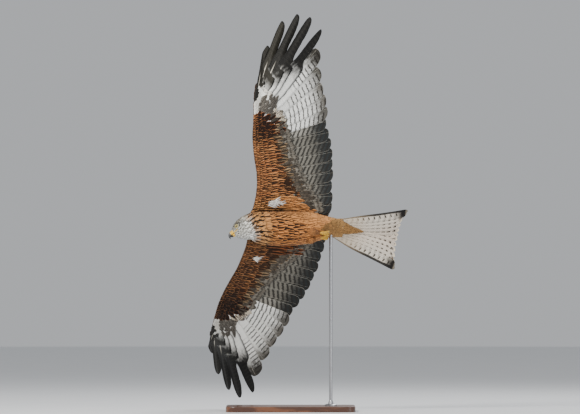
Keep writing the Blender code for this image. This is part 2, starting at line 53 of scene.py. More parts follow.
LOOK = np.array([LOOK_F, LOOK_L, -math.sqrt(1.0 - LOOK_F ** 2 - LOOK_L ** 2)])
_n = math.hypot(LOOK[1], LOOK[2])
RIGHT = np.array([-_n, LOOK_F * LOOK[1] / _n, LOOK_F * LOOK[2] / _n])
UP = np.array([0.0, -LOOK[2] / _n, LOOK[1] / _n])
BIRD_ROT = np.array([RIGHT, -LOOK, UP])  # rows: world X, Y and Z in the bird's axes


def to_world(p):
    return np.asarray(p) @ BIRD_ROT.T + np.array(BIRD_AT)


def pchip(xs, ys):
    """Smooth curve through named stations that never overshoots them."""
    xs = np.asarray(xs, float)
    ys = np.asarray(ys, float)
    h = np.diff(xs)
    d = np.diff(ys) / h
    m = np.zeros(len(xs))
    for i in range(1, len(xs) - 1):
        if d[i - 1] * d[i] > 0:
            w1, w2 = 2 * h[i] + h[i - 1], h[i] + 2 * h[i - 1]
            m[i] = (w1 + w2) / (w1 / d[i - 1] + w2 / d[i])
    m[0], m[-1] = d[0], d[-1]

    def f(x):
        x = np.clip(np.asarray(x, float), xs[0], xs[-1])
        i = np.clip(np.searchsorted(xs, x, side="right") - 1, 0, len(xs) - 2)
        t = (x - xs[i]) / h[i]
        t2, t3 = t * t, t * t * t
        return ((2 * t3 - 3 * t2 + 1) * ys[i] + (t3 - 2 * t2 + t) * h[i] * m[i]
                + (-2 * t3 + 3 * t2) * ys[i + 1] + (t3 - t2) * h[i] * m[i + 1])
    return f


def smooth(a, b, x):
    t = np.clip((np.asarray(x, float) - a) / (b - a), 0.0, 1.0)
    return t * t * (3 - 2 * t)


# ---------------------------------------------------------------- body: rings from rump to bill
HEAD_MID = np.array([0.1726, -0.0012, -0.0200])
HEAD_YAW, HEAD_PITCH, HEAD_ROLL = -28.3, -5.85, -25.4


def _frame(yaw, pitch, roll):
    y, p, r = (math.radians(v) for v in (yaw, pitch, roll))
    F = np.array([math.cos(p) * math.cos(y), math.cos(p) * math.sin(y), math.sin(p)])
    L0 = np.array([-math.sin(y), math.cos(y), 0.0])
    U0 = np.cross(F, L0)
    L = math.cos(r) * L0 + math.sin(r) * U0
    return F, L, np.cross(F, L)


HEAD_F, HEAD_L, HEAD_U = _frame(HEAD_YAW, HEAD_PITCH, HEAD_ROLL)


def head_pt(f, l, u):
    return HEAD_MID + np.multiply.outer(f, HEAD_F) + np.multiply.outer(l, HEAD_L) + np.multiply.outer(u, HEAD_U)


# station: distance along, centre x y z, half width, height up, height down, share of the head's turn
BODY = [
    (0.000, -0.195, -0.006, -0.003, 0.0360, 0.0100, 0.0120, 0.00),
    (0.030, -0.165, -0.004, -0.004, 0.0400, 0.0190, 0.0210, 0.00),
    (0.055, -0.140, -0.003, -0.006, 0.0455, 0.0290, 0.0330, 0.00),
    (0.085, -0.110, -0.001, -0.009, 0.0530, 0.0390, 0.0440, 0.00),
    (0.125, -0.070, 0.000, -0.013, 0.0580, 0.0480, 0.0540, 0.00),
    (0.175, -0.020, 0.000, -0.018, 0.0600, 0.0540, 0.0600, 0.00),
    (0.225, 0.030, 0.000, -0.018, 0.0605, 0.0550, 0.0620, 0.00),
    (0.265, 0.070, 0.001, -0.017, 0.0595, 0.0530, 0.0600, 0.00),
    (0.295, 0.100, 0.002, -0.016, 0.0570, 0.0500, 0.0560, 0.05),
    (0.317, 0.122, 0.004, -0.016, 0.0535, 0.0475, 0.0520, 0.20),
    (0.335, 0.139, 0.006, -0.017, 0.0475, 0.0430, 0.0540, 0.50),
    (0.350, 0.153, 0.0065, -0.0180, 0.0398, 0.0375, 0.0535, 0.82),
]
HEAD = [  # forward of the head's middle, half width, up, down
    (-0.006, 0.0335, 0.0345, 0.0492),
    (0.005, 0.0284, 0.0312, 0.0422),
    (0.012, 0.0250, 0.0283, 0.0366),
    (0.018, 0.0214, 0.0248, 0.0310),
    (0.023, 0.0182, 0.0212, 0.0262),
    (0.027, 0.0152, 0.0170, 0.0214),
    (0.0305, 0.0118, 0.0122, 0.0158),
]
for _f, _a, _bu, _bd in HEAD:
    _c = head_pt(_f, 0.0, 0.0)
    BODY.append((0.372 + _f, _c[0], _c[1], _c[2], _a, _bu, _bd, 1.0))
S_TRUNK_END, S_NECK_END, S_END = 0.306, 0.346, 0.4025
_b = np.array(BODY)
BODY_CURVES = [pchip(_b[:, 0], _b[:, k]) for k in range(1, 8)]


def body_ring(s):
    """Centre, left and up directions and the three radii of the body's section at s."""
    cx, cy, cz, a, bu, bd, w = (float(c(s)) for c in BODY_CURVES)
    F, L, U = _frame(HEAD_YAW * w, HEAD_PITCH * w, HEAD_ROLL * w)
    return np.array([cx, cy, cz]), F, L, U, a, bu, bd


def body_point(s, th, grow=0.0):
    """Point on the coat: th is 0 on the left flank, 90 on the back, -90 on the belly (degrees)."""
    c, F, L, U, a, bu, bd = body_ring(s)
    th = math.radians(th)
    ct, st = math.cos(th), math.sin(th)
    b = bu if st > 0 else bd
    return c + L * (a + grow) * ct + U * (b + grow) * st


# ---------------------------------------------------------------- wings: plan curves and height
LEAD = [(0.030, 0.138), (0.045, 0.132), (0.062, 0.126), (0.100, 0.1235), (0.135, 0.1255), (0.190, 0.134), (0.245, 0.150), (0.300, 0.164),
        (0.350, 0.172), (0.400, 0.174), (0.450, 0.171), (0.500, 0.163), (0.550, 0.147), (0.590, 0.128)]
LEAD_X = pchip([p[0] for p in LEAD], [p[1] for p in LEAD])
# plan positions of the feather tips, primaries counted outward, secondaries inward
TIP_P = {10: (0.112, 0.623), 9: (0.0705, 0.716), 8: (0.033, 0.762), 7: (0.001, SPAN_TIP), 6: (-0.037, 0.737),
         5: (-0.033, 0.664), 4: (-0.048, 0.592), 3: (-0.067, 0.533), 2: (-0.088, 0.487), 1: (-0.104, 0.439)}
TIP_S = {1: (-0.108, 0.390), 2: (-0.125, 0.350), 3: (-0.139, 0.315), 4: (-0.150, 0.275), 5: (-0.156, 0.237),
         6: (-0.164, 0.197), 7: (-0.166, 0.152), 8: (-0.172, 0.108), 9: (-0.172, 0.072)}
NOTCH = {9: (0.111, 0.607), 8: (0.083, 0.644), 7: (0.057, 0.655), 6: (0.026, 0.655), 5: (-0.031, 0.673)}
TRAIL_X = pchip([0.03] + [TIP_S[k][1] for k in range(9, 0, -1)] + [TIP_P[k][1] for k in range(1, 6)],
                [-0.160] + [TIP_S[k][0] for k in range(9, 0, -1)] + [TIP_P[k][0] for k in range(1, 6)])


def wing_z(x, y):
    """Height of the wing's middle surface without its camber: dihedral, then fingers that bend up."""
    x, y = np.asarray(x, float), np.asarray(y, float)
    dx, dy = x - WRIST[0], y - WRIST[1]
    ph = np.degrees(np.arctan2(dx, np.maximum(dy, 1e-6)))
    k = TIP_CURL * np.clip((ph + CURL_FROM) / CURL_SPAN, 0.0, 1.15) ** 2.2
    return ROOT_Z + DIHEDRAL * (y - 0.05) + np.where(dy > 0, k * (dx * dx + dy * dy), 0.0) * smooth(0.0, 0.05, dy)


def wing_pt(x, y, z, side):
    """Plan position and height on one wing, to a point in the bird's axes."""
    open_ = 1.0 - side * SPREAD * smooth(0.06, 0.16, y) * (1 - smooth(0.36, 0.48, y))
    return np.stack([np.asarray(x) * open_, side * np.asarray(y), np.asarray(z)], axis=-1)


def chord(x, y):
    """Share of the way from the leading to the trailing edge."""
    le, te = LEAD_X(y), TRAIL_X(y)
    return np.clip((le - np.asarray(x, float)) / (le - te), 0.0, 1.0)


def camber(x, y):
    c = chord(x, y)
    return (0.017 - 0.010 * smooth(0.25, 0.60, y)) * np.sin(math.pi * c ** 0.62)


def flesh_up(x, y):
    """Thickness of bone, muscle and coverts above the middle surface."""
    c = chord(x, y)
    root = 1.0 - 0.55 * smooth(0.06, 0.36, y) - 0.27 * smooth(0.36, 0.60, y)
    return 0.0006 + 0.0125 * root * np.clip(c / 0.10, 0, 1) ** 0.5 * (1 - smooth(0.12, 0.62, c))


def flesh_down(x, y):
    c = chord(x, y)
    root = 1.0 - 0.55 * smooth(0.06, 0.36, y) - 0.27 * smooth(0.36, 0.60, y)
    return 0.0006 + 0.0115 * root * np.clip(c / 0.10, 0, 1) ** 0.5 * (1 - smooth(0.10, 0.55, c))


# ---------------------------------------------------------------- tail: a fan about the pygostyle
TAIL_ROOT = np.array([-0.1953, -0.006, -0.003])
TAIL_TIP_Z = -0.030
# rectrices from the left outermost to the right outermost: end (x, y) of each
TAIL_L, TAIL_R = (-0.441, 0.0935), (-0.430, -0.1550)


def tail_edge(side, k):
    """Outer edge of the tail fan, k from 0 at the body to 1 at the corner; gently concave."""
    x0, y0 = TAIL_ROOT[0], TAIL_ROOT[1] + (0.0365 if side > 0 else -0.0460)
    x1, y1 = TAIL_L if side > 0 else TAIL_R
    return np.array([x0 + (x1 - x0) * k, y0 + (y1 - y0) * (k - (0.115 if side > 0 else 0.015) * math.sin(math.pi * k))])


def tail_z(x, y):
    k = np.clip((TAIL_ROOT[0] - np.asarray(x, float)) / (TAIL_ROOT[0] - TAIL_END), 0, 1.1)
    mid = TAIL_ROOT[1] + (-0.0320 - TAIL_ROOT[1]) * k
    return TAIL_ROOT[2] + (TAIL_TIP_Z - TAIL_ROOT[2]) * k - 0.9 * (np.asarray(y, float) - mid) ** 2 * smooth(0, 1, k)

# ================================================================ tools
TAU = 2.0 * math.pi


def srgb(r, g, b):
    v = np.array([r, g, b], float) / 255.0
    return np.where(v <= 0.04045, v / 12.92, ((v + 0.055) / 1.055) ** 2.4)


def col3(c, n):
    c = np.asarray(c, float)
    return np.broadcast_to(c, (n, 3)) if c.ndim == 1 else c


def frames(yaw, pitch, roll):
    y, p, r = np.radians(yaw), np.radians(pitch), np.radians(roll)
    cy, sy, cp, sp = np.cos(y), np.sin(y), np.cos(p), np.sin(p)
    F = np.stack([cp * cy, cp * sy, sp], -1)
    L0 = np.stack([-sy, cy, np.zeros_like(y)], -1)
    U0 = np.cross(F, L0)
    L = np.cos(r)[..., None] * L0 + np.sin(r)[..., None] * U0
    return F, L, np.cross(F, L)


def body_eval(s, th, h):
    """Points on the coat (h 0) or h above it, for arrays of distance along and angle round."""
    s, th, h = np.broadcast_arrays(np.asarray(s, float), np.asarray(th, float), np.asarray(h, float))
    cx, cy, cz, a, bu, bd, w = (c(s) for c in BODY_CURVES)
    F, L, U = frames(HEAD_YAW * w, HEAD_PITCH * w, HEAD_ROLL * w)
    t = np.radians(th)
    ct, st = np.cos(t), np.sin(t)
    b = np.where(st > 0, bu, bd)
    over = np.minimum(s, 0.0)[..., None] * F          # runs on past the rump
    return (np.stack([cx, cy, cz], -1) + over + L * ((a + h) * ct)[..., None] + U * ((b + h) * st)[..., None])


def body_radius(s, th):
    a, bu, bd = (BODY_CURVES[k](s) for k in (3, 4, 5))
    t = np.radians(th)
    b = np.where(np.sin(t) > 0, bu, bd)
    return np.sqrt((a * np.sin(t)) ** 2 + (b * np.cos(t)) ** 2) + 0.004


class Template:
    """Grid of a feather: v from root to tip, u from -1 to 1 across, front and back."""

    def __init__(self, nl, nw, full=False, vs=None, us=None):
        vs = np.linspace(0, 1, nl + 1) if vs is None else np.asarray(vs, float)
        us = np.linspace(-1, 1, nw + 1) if us is None else np.asarray(us, float)
        nl, nw = len(vs) - 1, len(us) - 1
        V, U = np.meshgrid(vs, us, indexing="ij")
        top = np.arange((nl + 1) * (nw + 1)).reshape(nl + 1, nw + 1)
        if full:
            bot = top + top.size
            self.v = np.concatenate([V.ravel(), V.ravel()])
            self.u = np.concatenate([U.ravel(), U.ravel()])
            self.side = np.concatenate([np.ones(top.size), -np.ones(top.size)])
        else:
            bot = top.copy()
            inner = top[1:-1, 1:-1]
            bot[1:-1, 1:-1] = top.size + np.arange(inner.size).reshape(inner.shape)
            self.v = np.concatenate([V.ravel(), V[1:-1, 1:-1].ravel()])
            self.u = np.concatenate([U.ravel(), U[1:-1, 1:-1].ravel()])
            rim = np.zeros(top.shape)
            rim[1:-1, 1:-1] = 1
            self.side = np.concatenate([rim.ravel(), -np.ones(inner.size)])
        q = []
        for g, back in ((top, False), (bot, True)):
            a, b, c, d = g[:-1, :-1].ravel(), g[1:, :-1].ravel(), g[1:, 1:].ravel(), g[:-1, 1:].ravel()
            q.append(np.stack([a, d, c, b] if back else [a, b, c, d], 1))
        front = np.concatenate([np.ones(len(q[0]), bool), np.zeros(len(q[1]), bool)])
        if full:
            loop = list(top[:, 0]) + list(top[-1, 1:]) + list(top[-2::-1, -1]) + list(top[0, -2:0:-1])
            loop = np.array(loop)
            nxt = np.roll(loop, -1)
            q.append(np.stack([nxt, loop, loop + top.size, nxt + top.size], 1))
            front = np.concatenate([front, np.ones(len(loop), bool)])
        self.quads = np.concatenate(q)
        self.front = front
        self.n = len(self.v)


class Coat:
    """Collects many feathers into one mesh."""

    def __init__(self, name, mat):
        self.name, self.mat = name, mat
        self.P, self.Q, self.A, self.uv, self.count = [], [], {}, [], 0

    def add(self, P, T, attrs, uvc, uvs, flip=False, uvshape=(1.0, 1.0)):
        P = np.asarray(P)
        N = P.shape[0]
        self.P.append(P.reshape(-1, 3))
        q = T.quads[:, ::-1] if flip else T.quads
        Q = q[None] + (self.count + np.arange(N) * T.n)[:, None, None]
        self.Q.append(Q.reshape(-1, 4))
        for k, a in attrs.items():
            a = np.asarray(a, float)
            if a.ndim == 1:
                a = np.broadcast_to(a, (N, T.n, len(a)))
            elif a.ndim == 2:
                a = np.broadcast_to(a[:, None, :], (N, T.n, a.shape[1]))
            self.A.setdefault(k, []).append(a.reshape(-1, a.shape[-1]))
        # bake patch: front in the middle, back beside it
        u, v = T.u[q], T.v[q]
        front = T.front[:, None]
        lx = np.where(front, u * 0.5, u * 0.5 + 1.15) * uvshape[0]
        ly = (v - 0.5) * uvshape[1]
        loc = np.stack([lx, ly], -1)
        uvs = np.broadcast_to(np.asarray(uvs, float), (N,))
        uv = np.asarray(uvc)[:, None, None, :] + loc[None] * uvs[:, None, None, None]
        self.uv.append(uv.reshape(-1, 2))
        self.count += N * T.n

    def make(self):
        P = to_world(np.concatenate(self.P))
        Q = np.concatenate(self.Q)
        me = bpy.data.meshes.new(self.name)
        me.vertices.add(len(P))
        me.vertices.foreach_set("co", P.astype(np.float32).ravel())
        me.loops.add(Q.size)
        me.loops.foreach_set("vertex_index", Q.astype(np.int32).ravel())
        me.polygons.add(len(Q))
        me.polygons.foreach_set("loop_start", np.arange(0, Q.size, 4, dtype=np.int32))
        me.polygons.foreach_set("loop_total", np.full(len(Q), 4, np.int32))
        me.update(calc_edges=True)
        me.validate()
        for k, parts in self.A.items():
            a = np.concatenate(parts).astype(np.float32)
            at = me.attributes.new(k, "FLOAT_VECTOR", "POINT")
            at.data.foreach_set("vector", a.ravel())
        lay = me.uv_layers.new(name="OFBake")
        lay.data.foreach_set("uv", np.clip(np.concatenate(self.uv), 0.0005, 0.9995).astype(np.float32).ravel())
        me.polygons.foreach_set("use_smooth", np.ones(len(Q), bool))
        me.materials.append(self.mat)
        ob = bpy.data.objects.new(self.name, me)
        bpy.context.scene.collection.objects.link(ob)
        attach(ob, "root")
        print("coat", self.name, "tris", len(Q) * 2)
        return ob


def plain_mesh(name, verts, faces, mats, smooth=True, world=True):
    me = bpy.data.meshes.new(name)
    v = np.asarray(verts, float)
    if world:
        v = to_world(v)
    me.from_pydata([tuple(map(float, p)) for p in v], [], [list(map(int, f)) for f in faces])
    me.update()
    for m in (mats if isinstance(mats, (list, tuple)) else [mats]):
        me.materials.append(m)
    if smooth:
        me.polygons.foreach_set("use_smooth", [True] * len(me.polygons))
    ob = bpy.data.objects.new(name, me)
    bpy.context.scene.collection.objects.link(ob)
    return ob


# ---------------------------------------------------------------- node graphs
class Graph:
    def __init__(self, name):
        self.mat = bpy.data.materials.new(name)
        self.mat.use_nodes = True
        self.t = self.mat.node_tree
        self.bsdf = self.t.nodes["Principled BSDF"]

    def new(self, kind):
        return self.t.nodes.new(kind)

    def put(self, sock, v):
        if v is None:
            return
        if isinstance(v, bpy.types.NodeSocket):
            self.t.links.new(v, sock)
        elif hasattr(v, "__len__") and len(sock.default_value) == 4 and len(v) == 3:
            sock.default_value = (float(v[0]), float(v[1]), float(v[2]), 1.0)
        elif hasattr(v, "__len__"):
            sock.default_value = tuple(float(c) for c in v)
        else:
            sock.default_value = float(v)

    def m(self, op, a, b=None, c=None, clamp=False):
        n = self.new("ShaderNodeMath")
        n.operation = op
        n.use_clamp = clamp
        self.put(n.inputs[0], a)
        self.put(n.inputs[1], b)
        self.put(n.inputs[2], c)
        return n.outputs[0]

    def step(self, lo, hi, x):
        """0 below lo, 1 above hi, smooth between; lo may exceed hi to fall."""
        n = self.new("ShaderNodeMapRange")
        n.interpolation_type = "SMOOTHSTEP"
        self.put(n.inputs[0], x)
        self.put(n.inputs[1], lo)
        self.put(n.inputs[2], hi)
        self.put(n.inputs[3], 0.0)
        self.put(n.inputs[4], 1.0)
        return n.outputs[0]

    def mix(self, f, a, b, blend="MIX"):
        n = self.new("ShaderNodeMix")
        n.data_type = "RGBA"
        n.blend_type = blend
        n.clamp_factor = True
        self.put(n.inputs[0], f)
        self.put(n.inputs[6], a)
        self.put(n.inputs[7], b)
        return n.outputs[2]

    def attr(self, name):
        n = self.new("ShaderNodeAttribute")
        n.attribute_type = "GEOMETRY"
        n.attribute_name = name
        return n.outputs["Vector"], n.outputs["Color"]

    def xyz(self, v):
        n = self.new("ShaderNodeSeparateXYZ")
        self.put(n.inputs[0], v)
        return n.outputs[0], n.outputs[1], n.outputs[2]

    def join(self, x, y, z):
        n = self.new("ShaderNodeCombineXYZ")
        self.put(n.inputs[0], x)
        self.put(n.inputs[1], y)
        self.put(n.inputs[2], z)
        return n.outputs[0]

    def noise(self, vec, scale, detail=2.0, rough=0.5):
        n = self.new("ShaderNodeTexNoise")
        self.put(n.inputs["Vector"], vec)
        n.inputs["Scale"].default_value = scale
        n.inputs["Detail"].default_value = detail
        n.inputs["Roughness"].default_value = rough
        return n.outputs["Fac"]

    def obj(self):
        return self.new("ShaderNodeTexCoord").outputs["Object"]

    def bump(self, height, dist, strength=1.0, normal=None):
        n = self.new("ShaderNodeBump")
        self.put(n.inputs["Height"], height)
        n.inputs["Distance"].default_value = dist
        n.inputs["Strength"].default_value = strength
        self.put(n.inputs["Normal"], normal)
        self.put(self.bsdf.inputs["Normal"], n.outputs[0])
        return n.outputs[0]


def feather_material(name, rough=0.62, sheen=0.04, barb=0.00075, bump=0.00012, quill=False):
    """One vane, coloured by its own coordinates: base to tip, bars, shaft streak, edge, barbs."""
    g = Graph(name)
    vn, _ = g.attr("vn")
    u, v, rnd = g.xyz(vn)
    vm, _ = g.attr("vm")
    ac, al, _s = g.xyz(vm)
    p1, _ = g.attr("p1")
    tb, soft, sw = g.xyz(p1)
    p2, _ = g.attr("p2")
    pitch, bar_k, ew = g.xyz(p2)
    p3, _ = g.attr("p3")
    ulo, uhi, rach = g.xyz(p3)
    p4, _ = g.attr("p4")
    ek, sk, sv = g.xyz(p4)
    cA, cB, cS, cE = (g.attr(k)[1] for k in ("cA", "cB", "cS", "cE"))
    seed = g.m("MULTIPLY", rnd, 37.0)
    wob = g.noise(g.join(g.m("MULTIPLY", ac, 160.0), g.m("MULTIPLY", al, 60.0), seed), 1.0, 3.0, 0.6)
    fine = g.noise(g.join(g.m("MULTIPLY", ac, 900.0), g.m("MULTIPLY", al, 500.0), seed), 1.0, 2.0, 0.6)
    aac = g.m("ABSOLUTE", ac)
    # base to tip
    vv = g.m("ADD", v, g.m("MULTIPLY", g.m("SUBTRACT", wob, 0.5), g.m("MULTIPLY", soft, 1.6)))
    t = g.step(g.m("SUBTRACT", tb, soft), g.m("ADD", tb, soft), vv)
    col = g.mix(t, cA, cB)
    # bars
    duty, fade, slant = g.xyz(g.attr("p5")[0]) if quill else (0.05, 0.03, 0.30)
    ph = g.m("ADD", g.m("DIVIDE", g.m("ADD", al, g.m("MULTIPLY", aac, slant)), pitch), g.m("ADD", g.m("MULTIPLY", g.m("SUBTRACT", wob, 0.5), 0.60), g.m("MULTIPLY", rnd, 0.40)))
    wave = g.m("SINE", g.m("MULTIPLY", ph, TAU))
    bars = g.step(duty, g.m("ADD", duty, 0.45), wave)
    inb = g.m("MULTIPLY", g.step(g.m("SUBTRACT", ulo, 0.12), g.m("ADD", ulo, 0.12), u), g.step(g.m("ADD", uhi, 0.10), g.m("SUBTRACT", uhi, 0.10), u))
    rootfade = g.step(fade, g.m("ADD", fade, 0.14), v)
    bars = g.m("MULTIPLY", g.m("MULTIPLY", bars, inb), g.m("MULTIPLY", bar_k, rootfade), clamp=True)
    col = g.mix(bars, col, cS)
    # streak down the shaft, tapering to the tip
    taper = g.m("MULTIPLY", sw, g.m("SUBTRACT", 1.10, g.m("POWER", v, 6.0)))
    wid = g.m("MULTIPLY", taper, g.m("ADD", 0.72, g.m("MULTIPLY", wob, 0.6)))
    st = g.step(wid, g.m("MULTIPLY", wid, 0.68), aac)
    st = g.m("MULTIPLY", g.m("MULTIPLY", st, sk), g.step(g.m("SUBTRACT", sv, 0.15), g.m("ADD", sv, 0.15), v))
    col = g.mix(st, col, cS)
    # pale or dark fringe
    far = g.m("MAXIMUM", g.m("ABSOLUTE", u), g.m("POWER", v, 7.0))
    ed = g.m("MULTIPLY", g.step(g.m("SUBTRACT", 1.0, ew), 1.0, far), ek)
    col = g.mix(ed, col, cE)
    # shaft itself
    rw = g.m("MULTIPLY", 0.0011, g.m("SUBTRACT", 1.15, v))
    rs = g.m("MULTIPLY", g.step(rw, g.m("MULTIPLY", rw, 0.55), aac), rach)
    col = g.mix(rs, col, cE)
    # barbs and wear
    barbw = g.m("SINE", g.m("MULTIPLY", g.m("DIVIDE", g.m("SUBTRACT", al, g.m("MULTIPLY", aac, 0.9)), barb), TAU))
    tone = g.m("ADD", 0.86, g.m("ADD", g.m("MULTIPLY", fine, 0.22), g.m("MULTIPLY", barbw, 0.035)))
    tone = g.m("ADD", tone, g.m("MULTIPLY", g.m("SUBTRACT", rnd, 0.5), 0.16))
    tn = g.new("ShaderNodeCombineColor")
    for i in range(3):
        g.put(tn.inputs[i], tone)
    col = g.mix(1.0, col, tn.outputs[0], "MULTIPLY")
    g.put(g.bsdf.inputs["Base Color"], col)
    g.bsdf.inputs["Roughness"].default_value = rough
    g.bsdf.inputs["Specular IOR Level"].default_value = 0.16
    g.bsdf.inputs["Sheen Weight"].default_value = sheen
    g.bsdf.inputs["Sheen Roughness"].default_value = 0.45
    g.bump(g.m("ADD", g.m("MULTIPLY", barbw, 0.5), fine), bump, 0.7)
    return g.mat

# ================================================================ materials of the plumage
M_FLIGHT = feather_material("flight_vanes", rough=0.52, sheen=0.02, barb=0.0011, quill=True)
M_COAT = feather_material("contour_feathers", rough=0.72, sheen=0.05, barb=0.0009)

WHITE = srgb(244, 243, 237)
BLACK = srgb(16, 13, 11)
BLACK_W = srgb(40, 38, 36)


def attrs(n, vn, vm, **marks):
    return dict(vn=vn, vm=vm, **marks)


def two_faced(T, under, upper):
    """Per-vertex rows: under on the back face of the template, upper on its front."""
    side = T.side[:, None]
    return np.where(side < 0, np.asarray(under, float)[None], np.asarray(upper, float)[None])


def wing_mid(x, y):
    return wing_z(x, y) + camber(x, y)


# ================================================================ flight feathers of the wings
# the three innermost feathers: root and tip in plan
TERTIAL = {10: ((0.002, 0.056), (-0.166, 0.050)), 11: ((-0.008, 0.050), (-0.156, 0.036)), 12: ((-0.016, 0.044), (-0.138, 0.026))}


def flight_root(kind, k):
    if kind == "P":
        t = (k - 1) / 9.0
        return np.array([0.136 + (0.160 - 0.136) * t, 0.350 + (0.466 - 0.350) * t])
    if k > 9:
        return np.array(TERTIAL[k][0])
    t = (k - 1) / 8.0
    return np.array([0.124 + (0.010 - 0.124) * t, 0.330 + (0.062 - 0.330) * t])


FT = Template(0, 0, full=True, vs=np.concatenate([[0], np.linspace(0.03, 0.93, 34), [0.95, 0.965, 0.978, 0.988, 0.996, 1.0]]),
              us=[-1, -0.82, -0.62, -0.42, -0.22, -0.06, 0.0, 0.06, 0.3, 0.65, 1.0])
# trailing and leading vane widths, where the vane narrows, and by how much
P_WIDTH = {10: (0.0210, 0.0080, 0.40, 0.34, 0.16), 9: (0.0285, 0.0078, 0.45, 0.33, 0.12), 8: (0.0310, 0.0088, 0.50, 0.40, 0.14),
           7: (0.0345, 0.0108, 0.55, 0.47, 0.18), 6: (0.040, 0.0125, 0.62, 0.50, 0.28)}
P_BOW = {10: 0.0055, 9: 0.003, 8: 0.0015}


def flight_line(kind, k, v):
    R = flight_root(kind, k)
    Tp = np.array(TERTIAL[k][1] if kind == "S" and k > 9 else (TIP_P if kind == "P" else TIP_S)[k], float)
    d = Tp - R
    L = np.linalg.norm(d)
    d = d / L
    X = np.array([-d[1], d[0]])
    if X @ np.array([0.25, 1.0]) < 0:
        X = -X
    if kind == "P" and X @ np.array([1.0, 0.3]) < 0:
        X = -X
    bow = (P_BOW.get(k, 0.0) if k > 5 else -0.004) if kind == "P" else -0.004
    cx = R[0] + d[0] * L * v + X[0] * bow * np.sin(math.pi * v)
    cy = R[1] + d[1] * L * v + X[1] * bow * np.sin(math.pi * v)
    return cx, cy, d, X, L, R


def free_height(kind, k, x, y):
    """Height of one feather's own sheet at plan positions: on the wing near its root, separate in the finger."""
    R = flight_root(kind, k)
    _, _, d, X, L, _ = flight_line(kind, k, np.zeros(1))
    v = np.clip(((x - R[0]) * d[0] + (y - R[1]) * d[1]) / L, 0, 1)
    cx, cy, _, _, _, _ = flight_line(kind, k, v)
    zf, zc = wing_mid(x, y), wing_mid(cx, cy)
    across = (x - cx) * X[0] + (y - cy) * X[1]
    if kind == "P" and k >= 6:
        ve = P_WIDTH[k][2]
        free = smooth(ve - 0.14, ve + 0.18, v)
    else:
        free = 0.25 * np.ones_like(v)
    z = zf * (1 - free) + (zc + np.clip(zf - zc, -0.006, 0.006)) * free
    return z + 0.055 * across - 0.2 * across * np.abs(across)


def flight_feather(kind, k):
    """One flight feather on the left wing: plan positions and heights of its grid."""
    v, u = FT.v, FT.u
    cx, cy, d, X, L, R = flight_line(kind, k, v)
    lead = u > 0
    if kind == "P":
        if k >= 6:
            wt, wl, ve, et, el = P_WIDTH[k]
            vt, pw = (0.72 if k == 10 else 0.80), (1.7 if k == 10 else 1.9)
        else:
            wt, wl, ve, et, el, vt, pw = 0.044, 0.018, 0.7, 0.0, 0.0, 0.84, 2.4
            wt += {5: -0.004, 4: 0.0, 3: 0.002, 2: 0.002, 1: 0.0}[k]
    else:
        wt, wl, ve, et, el, vt, pw = 0.034, 0.021, 0.7, 0.0, 0.0, 0.88, 2.6
    grow = 0.30 + 0.70 * smooth(0.0, 0.28, v)
    tip = np.sqrt(np.clip(1 - np.clip((v - vt) / (1 - vt), 0, 1) ** pw, 0.0, 1))
    tip = np.maximum(tip, 0.05)
    notch_t = 1 - et * smooth(ve - 0.07, ve + 0.05, v)
    notch_l = 1 - el * smooth(ve - 0.05, ve + 0.05, v)
    across = np.where(lead, u * wl * notch_l, u * wt * notch_t) * grow * tip
    # a few parted barbs along the edges
    across = across * (1 - 0.05 * np.abs(np.sin(v * (23 + 3 * k) + 1.7 * k)) ** 9 * (np.abs(u) > 0.9))
    x, y = cx + X[0] * across, cy + X[1] * across
    z = free_height(kind, k, x, y)
    if kind == "P" and k >= 7:
        # the trailing vane lies below the next feather inward where the two overlap
        zn = np.maximum(free_height("P", k - 1, x, y) - 0.0014, z - 0.0045)
        over = smooth(0.0, -0.004, across) * smooth(ve + 0.02, ve - 0.10, v)
        z = np.where(over > 0, z * (1 - over) + np.minimum(z, zn) * over, z)
    z = z + 0.0005 * FT.side * (0.35 + 0.9 * np.exp(-(across / 0.0016) ** 2)) * (1.1 - 0.5 * v)
    return x, y, z, across, v * L, L


